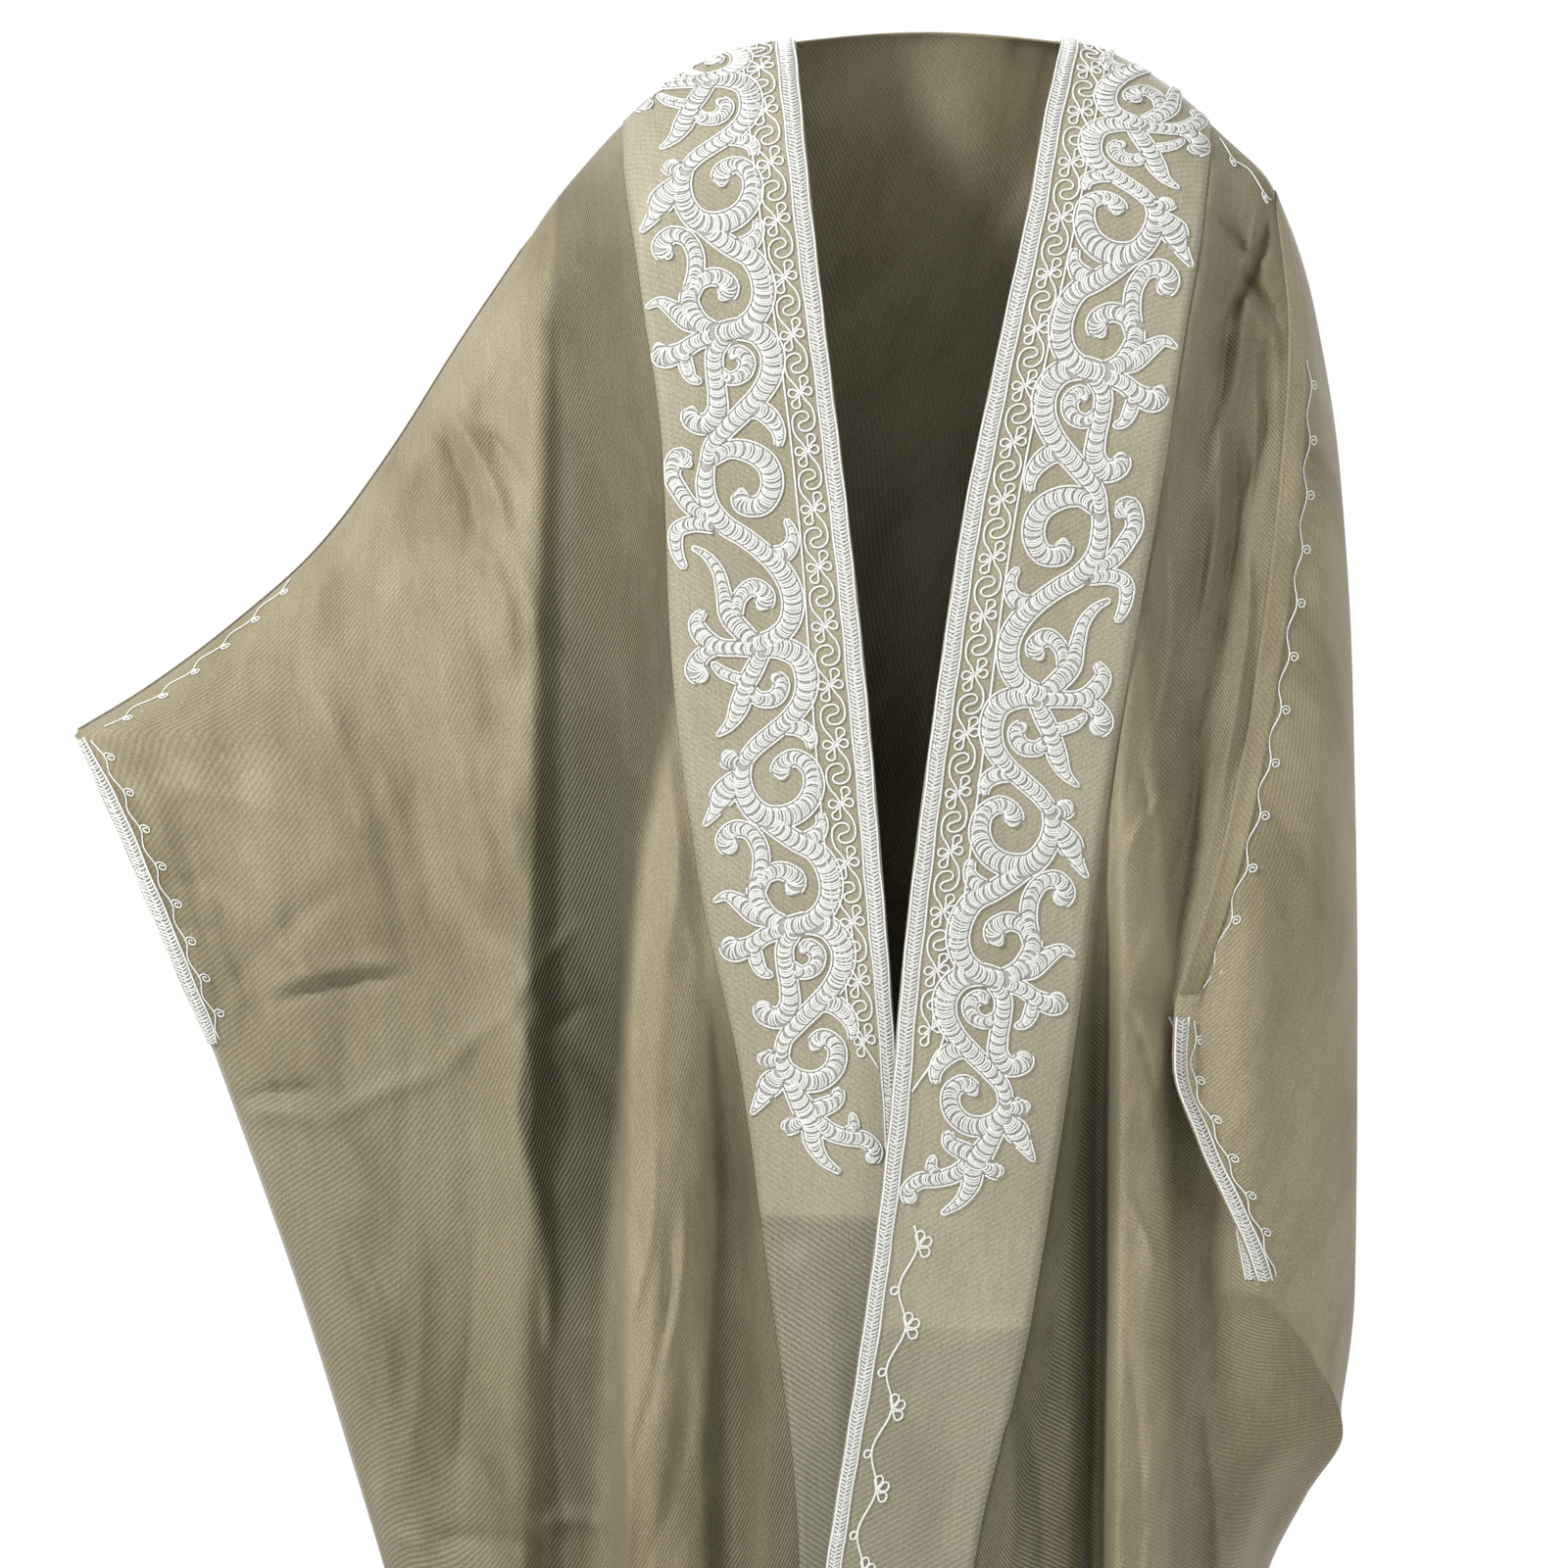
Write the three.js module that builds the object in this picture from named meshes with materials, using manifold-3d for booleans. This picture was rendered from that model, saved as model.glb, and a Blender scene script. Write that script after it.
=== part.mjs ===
// A bisht: a wide, open-fronted cloak of thin twilled cloth, worn over the shoulders.
// Millimetres, +Z up. The wearer faces -Y, and +X is the wearer's left.
// The origin is on the line between the two neck points, where the shoulders carry the cloak.
// The cloth hangs as on a standing figure with its right arm held out and its left arm down.
import * as THREE from "three";
import Module from "manifold-3d";

const wasm = await Module();
wasm.setup();

// Driving sizes.
const CLOTH = 1.5; // thickness of the cloth walls
const SEAM = 0.3; // gap between pieces that are sewn together
const SEAM_DRAW = 0.25; // how far each panel keeps back from a seam, along its own rows
const OPENING_DRAW = 1.8; // the same at the ends of the hand openings and the shoulders
const TOP_DRAW = 0.4; // how far each panel keeps back from the shoulder seam
const LENGTH = 1440; // neck point to hem at the front edges
const NECK_HALF = 89; // neck point to centre
const BACK_NECK_DEPTH = 66; // how far the back neck edge lies behind the neck points
const BACK_NECK_RISE = 12;
const SHOULDER_CURVE = 110; // height over which the cloth rounds from the shoulder seam to the chest
const BAND_WIDTH = 120; // the sewn-on front band
const BAND_SHARE = 0.24; // the share of a front panel's columns that the band covers
const BAND_THICK = 1.0;
const EDGE_BRAID_WIDTH = 11.5;
const BRAID_HIGH = 1.6;
const CUFF_CLEAR = 0.8; // clearance under a cuff braid, where the cloth turns sharply
// How far the cuff braids stop short of an opening's two ends.
const CUFF_INSETS = { right: [4, 4], left: [16, 10] };
const BRAID_INSET = 0.4; // how far a braid keeps in from the edge that it borders
const CUFF_BRAID_WIDTH = 12;
const SEAM_STRIP_WIDTH = 17; // the turned-in joint of each arm seam, sewn down on the back panel
const SEAM_STRIP_HIGH = 1.0;
const SCROLL_HIGH = 1.8;
const SCROLL_CLEAR = 0.9; // clearance under the couched scrolls, which cross the band's facets
const SCROLL_CLEAR_TOP = 2.2; // the same where the cloth rounds over the shoulder
const SCROLL_LEAN = 0.12; // the front edge's slope, which the scrolls lean with
const SCROLL_FIRST = 140; // distance of the first large spiral from the shoulder, along the cloth
const SCROLL_PITCH = 190;
const SCROLL_EASE = 0.7; // corners of the joined strokes that are flatter than this are dropped
const SCROLL_REPEATS = 4;

// Rows that every cloth panel shares: depth below the shoulder seam, measured at the front edge.
// 463 and 673 are the ends of the right hand opening, 640 and 832 those of the left one.
const RIGHT_CUFF = [463, 673];
const LEFT_CUFF = [640, 832];
const ROWS = [
  0, 1.7, 12, 34, 68, 112, 170, 235, 300, 365, 420, 463, 530, 600, 640, 673, 740, 832, 880, 926,
  1017, 1140, 1290, LENGTH,
];

const table = (names, rows) =>
  Object.fromEntries(names.map((name, column) => [name, rows.map((row) => row[column])]));

// Hangs of the panels, by height: front edge, outer edge of the band, a line down the body, one further out.
const HANG = ["z", "edgeX", "edgeY", "bandX", "bandY", "bodyX", "bodyY", "wingX", "wingY"];
const RIGHT_FRONT = table(HANG, [
  [0, -88, -80, -203, -70, -226, -50, -252, -38],
  [-60, -83, -86, -203, -76, -226, -56, -254, -42],
  [-160, -73, -100, -192, -94, -216, -76, -266, -46],
  [-276, -59, -113, -176, -108, -204, -88, -310, -46],
  [-410, -44, -123, -170, -113, -200, -96, -372, -52],
  [-560, -31, -126, -152, -110, -197, -92, -384, -54],
  [-680, -22, -123, -126, -108, -195, -92, -366, -54],
  [-792, -16, -121, -110, -106, -194, -92, -342, -52],
  [-1017, -2, -116, -86, -104, -195, -92, -300, -56],
  [-1440, 14, -112, -92, -104, -198, -98, -262, -70],
]);
const LEFT_FRONT = table(HANG, [
  [0, 90, -80, 187, -72, 201, -62, 220, -50],
  [-60, 75, -86, 186, -78, 201, -68, 222, -54],
  [-110, 66, -94, 182, -84, 198, -72, 222, -58],
  [-216, 43, -112, 165, -106, 184, -88, 214, -66],
  [-322, 21, -125, 148, -117, 162, -104, 202, -76],
  [-441, 3, -134, 127, -122, 144, -108, 186, -86],
  [-580, -15, -140, 106, -124, 128, -114, 162, -98],
  [-640, -21, -141, 98, -125, 125, -114, 150, -104],
  [-723, -28, -143, 86, -125, 121, -110, 160, -94],
  [-862, -46, -144, 63, -126, 117, -104, 182, -84],
  [-1017, -70, -146, 27, -130, 114, -100, 182, -66],
  [-1440, -112, -150, -8, -134, 108, -104, 176, -72],
]);
const RIGHT_BACK = table(HANG, [
  [0, -89, 82, -203, 66, -226, 46, -252, 34],
  [-160, -88, 108, -200, 92, -222, 74, -268, 42],
  [-410, -86, 116, -190, 104, -240, 80, -390, 34],
  [-673, -84, 114, -180, 100, -250, 74, -390, 30],
  [-1017, -86, 120, -176, 104, -224, 84, -296, 44],
  [-1440, -92, 132, -182, 116, -214, 96, -262, 64],
]);
const LEFT_BACK = table(
  ["z", "edgeX", "edgeY", "bandX", "bandY", "heelX", "heelY", "armX", "armY", "frontY"],
  [
    [0, 90, 82, 187, 66, 214, 34, 232, 0, -22],
    [-101, 90, 100, 188, 84, 226, 42, 242, 4, -26],
    [-289, 89, 112, 186, 98, 254, 54, 276, 0, -48],
    [-425, 88, 115, 184, 102, 262, 56, 284, -8, -62],
    [-640, 86, 114, 180, 102, 264, 54, 287, -16, -80],
    [-832, 86, 116, 178, 102, 262, 54, 285, -20, -78],
    [-926, 86, 118, 176, 104, 256, 58, 275, 16, -2],
    [-1017, 86, 120, 170, 104, 214, 66, 226, 36, 18],
    [-1440, 88, 132, 166, 112, 208, 72, 226, 40, 18],
  ],
);

// The joins that the panels share, each as a route by height. half is half the gap between front and back.
const ROUTE = ["z", "x", "y", "half"];
const RIGHT_ARM_SEAM = table(ROUTE, [
  [-130, -265, 0, 36],
  [-200, -312, -4, 36],
  [-276, -360, -9, 34],
  [-340, -408, -13, 32],
  [-392, -466, -17, 30],
  [-435, -524, -21, 27],
  [-463, -570, -24, 24],
]);
const RIGHT_HAND_EDGE = table(ROUTE, [
  [-463, -570, -24, 24],
  [-540, -535, -24, 26],
  [-620, -502, -22, 24],
  [-673, -478, -20, 18],
]);
const RIGHT_SIDE = table(ROUTE, [
  [-673, -478, -20, 18],
  [-796, -434, -14, 18],
  [-931, -388, -8, 20],
  [-1040, -352, -4, 24],
  [-1200, -318, 0, 30],
  [-1440, -296, 2, 36],
]);
const LEFT_ARM_SEAM = table(ROUTE, [
  [-101, 229, -38, 0],
  [-196, 238, -60, 0],
  [-289, 232, -72, 0],
  [-425, 215, -86, 0],
  [-543, 191, -102, 0],
  [-640, 161, -118, 0],
]);
const LEFT_HAND_BACK = table(ROUTE, [
  [-640, 161, -118, 0],
  [-679, 159, -124, 0],
  [-731, 175, -126, 0],
  [-798, 205, -121, 0],
  [-832, 218, -114, 0],
]);
const LEFT_HAND_FRONT = table(ROUTE, [
  [-640, 161, -118, 0],
  [-690, 188, -94, 0],
  [-760, 210, -86, 0],
  [-832, 218, -114, 0],
]);
const LEFT_SIDE = table(ROUTE, [
  [-832, 218, -114, 0],
  [-871, 251, -76, 0],
  [-926, 277, -20, 0],
  [-965, 254, 2, 4],
  [-1017, 227, 8, 10],
  [-1100, 212, 10, 16],
  [-1250, 210, 8, 24],
  [-1440, 226, 6, 30],
]);

// Shoulder seams run from the neck points to where each arm seam starts.
const RIGHT_SHOULDER = { x: -265, y: 0, drop: 130, power: 2, fade: 420, hemDroop: 90 };
const LEFT_SHOULDER = { x: 229, y: -38, drop: 101, power: 1.7, fade: 380, hemDroop: 50 };

// Folds: a line from top to foot, half widths to either side of it, and how far it stands out of the cloth.
// A negative rise is a trough. root is the length over which it grows out of the flat cloth at its top.
const FOLD = ["topX", "topZ", "footX", "footZ", "left", "right", "rise", "root"];
const RIGHT_FRONT_FOLDS = table(FOLD, [
  [-196, -330, -194, -1440, 17, 30, 26, 330],
  [-146, -470, -140, -1440, 18, 20, -16, 260],
  [-230, -150, -238, -1440, 22, 26, -16, 240],
  [-276, -200, -276, -1440, 16, 20, 10, 200],
  [-322, -262, -300, -640, 14, 18, 7, 90],
  [-400, -370, -326, -1100, 22, 26, 8, 160],
  [-452, -430, -356, -1000, 24, 28, 9, 140],
  [-500, -490, -440, -800, 16, 18, -5, 90],
]);
const LEFT_FRONT_FOLDS = table(FOLD, [
  [140, -400, 132, -1440, 17, 20, 29, 200],
  [118, -500, 102, -1440, 11, 11, -24, 240],
  [182, -560, 168, -1440, 14, 18, -10, 240],
  [216, -880, 196, -1440, 18, 18, 12, 160],
]);
const BACK_FOLDS = table(FOLD, [
  [-470, -440, -380, -1000, 30, 30, 10, 160],
  [-360, -330, -300, -1440, 26, 26, -15, 260],
  [-300, -260, -246, -1440, 26, 28, 22, 300],
  [-230, -170, -196, -1440, 24, 26, -18, 280],
  [-176, -190, -146, -1440, 26, 28, 26, 330],
  [-112, -260, -94, -1440, 22, 24, -20, 300],
  [-56, -170, -46, -1440, 26, 26, 22, 360],
  [4, -220, 2, -1440, 22, 24, -20, 320],
  [58, -180, 50, -1440, 26, 28, 24, 340],
  [112, -240, 100, -1440, 22, 22, -18, 280],
  [164, -200, 148, -1440, 24, 26, 24, 320],
  [214, -420, 190, -1440, 22, 18, -14, 260],
]);

// Columns beyond the band, as shares of the way from its outer edge to the side.
const BAND_STEPS = [0, 0.3, 0.65, 1];
const RIGHT_STEPS = [0.08, 0.16, 0.23, 0.29, 0.35, 0.41, 0.48, 0.55, 0.63, 0.71, 0.79, 0.87];
const LEFT_STEPS = [0.09, 0.18, 0.27, 0.35, 0.41, 0.47, 0.54, 0.62, 0.7, 0.78];
const JOIN_STEPS = [SEAM_STRIP_WIDTH, CUFF_BRAID_WIDTH, 3]; // columns at these distances from a join
const NECK_STEPS = [0.2, 0.4, 0.6, 0.8];

const mix = (a, b, t) => a + (b - a) * t;
const clamp = (v) => Math.min(1, Math.max(0, v));
const smooth = (t) => clamp(t) ** 2 * (3 - 2 * clamp(t));
const rounded = (t) => Math.sqrt(1 - (1 - clamp(t)) ** 2);
const columnsOf = (steps) => [
  ...BAND_STEPS.map((t) => t * BAND_SHARE),
  ...steps.map((t) => mix(BAND_SHARE, 1, t)),
];

// A smooth line through the points (at, values), which never swings past them.
function through(at, values, t) {
  const down = at[0] > at[1] ? -1 : 1;
  const n = at.length - 1;
  if ((t - at[0]) * down <= 0) return values[0];
  if ((t - at[n]) * down >= 0) return values[n];
  let k = 0;
  while ((t - at[k + 1]) * down > 0) k++;
  const rate = (i) => (values[i + 1] - values[i]) / (at[i + 1] - at[i]);
  const slope = (i) => {
    if (i === 0 || i === n) return rate(Math.min(i, n - 1));
    const [before, after] = [rate(i - 1), rate(i)];
    return before * after <= 0 ? 0 : (2 * before * after) / (before + after);
  };
  const span = at[k + 1] - at[k];
  const u = (t - at[k]) / span;
  const bend = u * (1 - u) * span;
  return mix(values[k], values[k + 1], u * u * (3 - 2 * u)) +
    bend * ((1 - u) * slope(k) - u * slope(k + 1));
}
const read = (rows, column, z) => through(rows.z, rows[column], z);

// Where a join runs at a height, over its arm seam, hand opening and side.
function route(parts, z) {
  const part = parts.find((p) => z >= p.z[p.z.length - 1]) ?? parts[parts.length - 1];
  return { x: read(part, "x", z), y: read(part, "y", z), half: read(part, "half", z) };
}
const RIGHT_ROUTE = [RIGHT_ARM_SEAM, RIGHT_HAND_EDGE, RIGHT_SIDE];
const LEFT_FRONT_ROUTE = [LEFT_ARM_SEAM, LEFT_HAND_FRONT, LEFT_SIDE];
const LEFT_BACK_ROUTE = [LEFT_ARM_SEAM, LEFT_HAND_BACK, LEFT_SIDE];

// How far a hand opening stands open at a depth, 0 at its two ends.
function openness([top, foot], depth) {
  return Math.sqrt(Math.sin(Math.PI * clamp((depth - top) / (foot - top))));
}

// The shoulder seam, which is the top row of the panels on its side: s runs from the neck point outwards.
function shoulder(side, s) {
  const sign = Math.sign(side.x);
  const bandX = sign * (side === RIGHT_SHOULDER ? 203 : 187);
  const x = s < BAND_SHARE
    ? mix(sign * NECK_HALF, bandX, s / BAND_SHARE)
    : mix(bandX, side.x, (s - BAND_SHARE) / (1 - BAND_SHARE));
  const out = clamp((Math.abs(x) - NECK_HALF) / (Math.abs(side.x) - NECK_HALF));
  return { x, y: side.y * out ** 2, z: -side.drop * out ** side.power };
}
const seamFade = (side, depth) => 1 - smooth(depth / side.fade);

function foldsAt(folds, x, z) {
  let rise = 0;
  for (let i = 0; i < folds.topX.length; i++) {
    const along = (folds.topZ[i] - z) / (folds.topZ[i] - folds.footZ[i]);
    const reachesHem = folds.footZ[i] <= -LENGTH;
    const below = folds.topZ[i] - z;
    const tail = reachesHem ? 1 : smooth((z - folds.footZ[i]) / folds.root[i]);
    const grown = smooth(below / folds.root[i]) * tail;
    const off = x - mix(folds.topX[i], folds.footX[i], clamp(along));
    const width = off < 0 ? folds.left[i] : folds.right[i];
    rise += folds.rise[i] * grown * Math.exp(-((off / width) ** 2));
  }
  return rise;
}

// A point of a panel's outer face. section gives the level ring's control points; the last is the join.
function onPanel(panel, s, depth) {
  const { side, front } = panel;
  const fade = seamFade(side, depth);
  const level = (share) => -depth + shoulder(side, share).z * fade;
  const ring = (d) => {
    const rest = seamFade(side, d);
    const heights = [0, BAND_SHARE, 1].map((share) => -d + shoulder(side, share).z * rest);
    const { at, xs, ys } = panel.section(heights, d);
    return { x: through(at, xs, s), y: through(at, ys, s), end: ys[ys.length - 1] };
  };
  const here = ring(depth);
  const atTop = ring(0);
  const seam = shoulder(side, s);
  const left = 1 - rounded(depth / SHOULDER_CURVE);
  const x = here.x + (seam.x - atTop.x) * left;
  let y = here.y + (seam.y - atTop.y) * left;
  const join = route(panel.route, level(1));
  const beyond = clamp((s - BAND_SHARE) / (1 - BAND_SHARE));
  if (join.half > 0) {
    const width = Math.abs(join.x - read(panel.hang, "bandX", level(BAND_SHARE)));
    const open = openness(panel.cuff, depth);
    const turn = rounded(((1 - beyond) * width) / join.half);
    y = join.y + (y - join.y) * (turn + (1 - turn) * open);
  }
  const droop = side.hemDroop * beyond ** 2 * smooth((depth - 800) / (LENGTH - 800));
  const z = level(s) - droop;
  const offBand = smooth((s - BAND_SHARE) / 0.05);
  const calm = smooth(Math.abs(x - join.x) / 30) * rounded(depth / 300) * (front ? offBand : 1);
  y += (front ? -1 : 1) * foldsAt(panel.folds, x, z) * calm;
  return new THREE.Vector3(x, y, z);
}

const beyondBand = (t) => mix(BAND_SHARE, 1, t);
function levelSection(hang, parts, sign) {
  return ([edge, band, outer]) => {
    const join = route(parts, outer);
    const body = mix(band, outer, 0.35);
    const wing = mix(band, outer, 0.75);
    return {
      at: [0, BAND_SHARE, beyondBand(0.35), beyondBand(0.75), 1],
      xs: [read(hang, "edgeX", edge), read(hang, "bandX", band), read(hang, "bodyX", body),
        read(hang, "wingX", wing), join.x],
      ys: [read(hang, "edgeY", edge), read(hang, "bandY", band), read(hang, "bodyY", body),
        read(hang, "wingY", wing), join.y + sign * join.half],
    };
  };
}
// The left back goes round the outside of the lowered arm and ends in front of it.
function leftBackSection([edge, band, outer]) {
  const join = route(LEFT_BACK_ROUTE, outer);
  const at = (column) => read(LEFT_BACK, column, outer);
  return {
    at: [0, BAND_SHARE, beyondBand(0.4), beyondBand(0.66), beyondBand(0.86), 1],
    xs: [read(LEFT_BACK, "edgeX", edge), read(LEFT_BACK, "bandX", band), at("heelX"), at("armX"),
      mix(at("armX"), join.x, 0.3), join.x],
    ys: [read(LEFT_BACK, "edgeY", edge), read(LEFT_BACK, "bandY", band), at("heelY"), at("armY"),
      at("frontY"), join.y],
  };
}

const PANELS = {
  rightFront: {
    side: RIGHT_SHOULDER, front: true, hang: RIGHT_FRONT, route: RIGHT_ROUTE, cuff: RIGHT_CUFF,
    folds: RIGHT_FRONT_FOLDS, section: levelSection(RIGHT_FRONT, RIGHT_ROUTE, -1),
  },
  leftFront: {
    side: LEFT_SHOULDER, front: true, hang: LEFT_FRONT, route: LEFT_FRONT_ROUTE, cuff: LEFT_CUFF,
    folds: LEFT_FRONT_FOLDS, section: levelSection(LEFT_FRONT, LEFT_FRONT_ROUTE, -1),
  },
  rightBack: {
    side: RIGHT_SHOULDER, front: false, hang: RIGHT_BACK, route: RIGHT_ROUTE, cuff: RIGHT_CUFF,
    folds: BACK_FOLDS, section: levelSection(RIGHT_BACK, RIGHT_ROUTE, 1),
  },
  leftBack: {
    side: LEFT_SHOULDER, front: false, hang: LEFT_BACK, route: LEFT_BACK_ROUTE, cuff: LEFT_CUFF,
    folds: BACK_FOLDS, section: leftBackSection,
  },
};

// All the columns of a panel, of which the last few keep their distances from the join at every depth.
function columnsTo(panel, steps) {
  const fromJoin = (distance) => (depth) => {
    const end = onPanel(panel, 1, depth);
    let off = 0.03;
    for (let i = 0; i < 10; i++) off *= distance / onPanel(panel, 1 - off, depth).distanceTo(end);
    return 1 - off;
  };
  const shares = columnsOf(steps).map((share) => () => share);
  return [...shares, ...JOIN_STEPS.map(fromJoin), () => 1];
}

// The stretch of the back between the neck points, t from the right one to the left one.
function onBackNeck(t, depth) {
  const from = onPanel(PANELS.rightBack, 0, depth);
  const to = onPanel(PANELS.leftBack, 0, depth);
  const left = 1 - rounded(depth / SHOULDER_CURVE);
  const arch = Math.sin(Math.PI * t);
  const point = from.clone().lerp(to, t);
  point.y += BACK_NECK_DEPTH * arch * left;
  point.z += BACK_NECK_RISE * arch * left;
  const calm = rounded(depth / 300);
  const ends = mix(foldsAt(BACK_FOLDS, from.x, from.z), foldsAt(BACK_FOLDS, to.x, to.z), t);
  point.y += (foldsAt(BACK_FOLDS, point.x, point.z) - ends) * calm;
  return point;
}

// A grid of points, one row for each depth, with its outward normals.
function gridOf(pointAt, columns, outward) {
  const points = ROWS.map((depth) => columns.map((c) => pointAt(c, depth)));
  const last = columns.length - 1;
  const normals = points.map((row, i) => row.map((p, j) => {
    const across = row[Math.min(j + 1, last)].clone().sub(row[Math.max(j - 1, 0)]);
    const below = points[Math.min(i + 1, ROWS.length - 1)][j];
    const down = below.clone().sub(points[Math.max(i - 1, 0)][j]);
    return across.cross(down).normalize().multiplyScalar(outward);
  }));
  return { points, normals };
}

// Two grids that meet along a seam lean their edges the same way, so that their walls don't cross.
function seamNormals(a, b) {
  if (a.point.distanceTo(b.point) > 1) return;
  const shared = a.normal.clone().add(b.normal).normalize();
  a.normal.copy(shared);
  b.normal.copy(shared);
}
const vertexOf = (grid, i, j) => ({ point: grid.points[i][j], normal: grid.normals[i][j] });

// Draws the edges of a grid back, so that it clears its neighbours, and more so at the ends of a seam.
function drawSide(grid, fromEnd) {
  grid.points.forEach((row, i) => {
    const [edge, next] = fromEnd ? [row[row.length - 1], row[row.length - 2]] : [row[0], row[1]];
    const end = ROWS[i] < SHOULDER_CURVE / 2 || [...RIGHT_CUFF, ...LEFT_CUFF].includes(ROWS[i]);
    edge.addScaledVector(next.clone().sub(edge).normalize(), end ? OPENING_DRAW : SEAM_DRAW);
  });
}
function drawTop(grid, fromColumn, toColumn) {
  for (let j = fromColumn; j <= toColumn; j++) {
    const [top, next] = [grid.points[0][j], grid.points[1][j]];
    top.addScaledVector(next.clone().sub(top).normalize(), TOP_DRAW);
  }
}

function geometryOf(vertices, faces) {
  const geometry = new THREE.BufferGeometry();
  const numbers = vertices.flatMap((v) => v.toArray());
  geometry.setAttribute("position", new THREE.Float32BufferAttribute(numbers, 3));
  let volume = 0;
  for (const [a, b, c] of faces)
    volume += vertices[a].dot(vertices[b].clone().cross(vertices[c])) / 6;
  geometry.setIndex(faces.flatMap(([a, b, c]) => (volume < 0 ? [a, c, b] : [a, b, c])));
  return geometry;
}

// The closed solid between two sets of points, laid out alike.
function between(lower, upper) {
  const rows = lower.length;
  const columns = lower[0].length;
  const vertices = [...upper.flat(), ...lower.flat()];
  const at = (i, j, under) => (under ? rows * columns : 0) + i * columns + j;
  const faces = [];
  const quad = (a, b, c, d) => faces.push([a, b, c], [a, c, d]);
  for (let i = 0; i < rows - 1; i++)
    for (let j = 0; j < columns - 1; j++) {
      quad(at(i, j), at(i, j + 1), at(i + 1, j + 1), at(i + 1, j));
      quad(at(i, j, 1), at(i + 1, j, 1), at(i + 1, j + 1, 1), at(i, j + 1, 1));
    }
  for (let j = 0; j < columns - 1; j++) {
    quad(at(0, j + 1), at(0, j), at(0, j, 1), at(0, j + 1, 1));
    quad(at(rows - 1, j), at(rows - 1, j + 1), at(rows - 1, j + 1, 1), at(rows - 1, j, 1));
  }
  for (let i = 0; i < rows - 1; i++) {
    quad(at(i, 0), at(i + 1, 0), at(i + 1, 0, 1), at(i, 0, 1));
    quad(at(i + 1, columns - 1), at(i, columns - 1), at(i, columns - 1, 1), at(i + 1, columns - 1, 1));
  }
  return geometryOf(vertices, faces);
}

// The closed solid between two heights over some of a grid's columns.
function layer({ points, normals }, [low, high], columns = points[0].keys().toArray()) {
  const at = (height) => points.map((row, i) =>
    columns.map((j) => row[j].clone().addScaledVector(normals[i][j], height)));
  return between(at(low), at(high));
}

// A point over a grid's facets: column numbers and row numbers may have fractions.
function overFacets(grid, column, row, height) {
  const j = Math.min(Math.floor(column), grid.points[0].length - 2);
  const i = Math.min(Math.floor(row), grid.points.length - 2);
  const [u, v] = [column - j, row - i];
  const corner = (r, c) => grid.points[r][c].clone().addScaledVector(grid.normals[r][c], height);
  const [a, b, c, d] = [corner(i, j), corner(i, j + 1), corner(i + 1, j + 1), corner(i + 1, j)];
  const point = a.clone();
  if (u >= v) return point.addScaledVector(b.sub(a), u).addScaledVector(c.clone().sub(corner(i, j + 1)), v);
  return point.addScaledVector(c.sub(d), u).addScaledVector(d.sub(a), v);
}

// The column number at a distance along a row.
function columnAt(grid, i, distance) {
  const row = grid.points[i];
  let gone = 0;
  let j = 0;
  while (gone + row[j].distanceTo(row[j + 1]) < distance) {
    gone += row[j].distanceTo(row[j + 1]);
    j++;
  }
  return j + (distance - gone) / row[j].distanceTo(row[j + 1]);
}

// A strip laid over some rows and columns of a grid, either of which may have fractions.
function strip(grid, rows, columnsAt, [low, high]) {
  const at = (height) => rows.map((row) =>
    columnsAt(row).map((column) => overFacets(grid, column, row, height)));
  return between(at(low), at(high));
}
// The rows between two depths, of which the first and last keep in a little.
function rowsFrom(top, foot, [insetTop, insetFoot] = [SEAM, SEAM]) {
  const kept = ROWS.keys().toArray().filter((i) => ROWS[i] >= top && ROWS[i] <= foot);
  const [first, last] = [kept[0], kept[kept.length - 1]];
  kept[0] += insetTop / (ROWS[first + 1] - ROWS[first]);
  kept[kept.length - 1] -= insetFoot / (ROWS[last] - ROWS[last - 1]);
  return kept;
}

const group = new THREE.Group();
const finish = (color, roughness) => new THREE.MeshStandardMaterial({ color, roughness, metalness: 0 });
const CLOTH_FINISH = finish(0x9a9078, 0.85);
const BAND_FINISH = finish(0xaca48c, 0.75);
const THREAD_FINISH = finish(0xe4e4e0, 0.6);
function add(name, geometry, material) {
  const mesh = new THREE.Mesh(geometry, material);
  mesh.name = name;
  group.add(mesh);
  return mesh;
}

// The three cloth panels.
const gridFor = (panel, steps, outward) =>
  gridOf((column, depth) => onPanel(panel, column(depth), depth), columnsTo(panel, steps), outward);
const rightFront = gridFor(PANELS.rightFront, RIGHT_STEPS, 1);
const leftFront = gridFor(PANELS.leftFront, LEFT_STEPS, -1);
const backColumns = [
  ...columnsTo(PANELS.rightBack, RIGHT_STEPS).toReversed().map((s) => ["rightBack", s]),
  ...NECK_STEPS.map((t) => ["neck", () => t]),
  ...columnsTo(PANELS.leftBack, LEFT_STEPS).map((s) => ["leftBack", s]),
];
const back = gridOf(
  ([part, t], d) => (part === "neck" ? onBackNeck(t(), d) : onPanel(PANELS[part], t(d), d)),
  backColumns,
  1,
);
const lastColumn = (grid) => grid.points[0].length - 1;
ROWS.forEach((_, i) => {
  seamNormals(vertexOf(rightFront, i, lastColumn(rightFront)), vertexOf(back, i, 0));
  seamNormals(vertexOf(leftFront, i, lastColumn(leftFront)), vertexOf(back, i, lastColumn(back)));
});
const neckFirst = lastColumn(rightFront);
const neckLast = neckFirst + NECK_STEPS.length + 1;
for (let j = 0; j <= lastColumn(rightFront); j++)
  seamNormals(vertexOf(rightFront, 0, j), vertexOf(back, 0, neckFirst - j));
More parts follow.
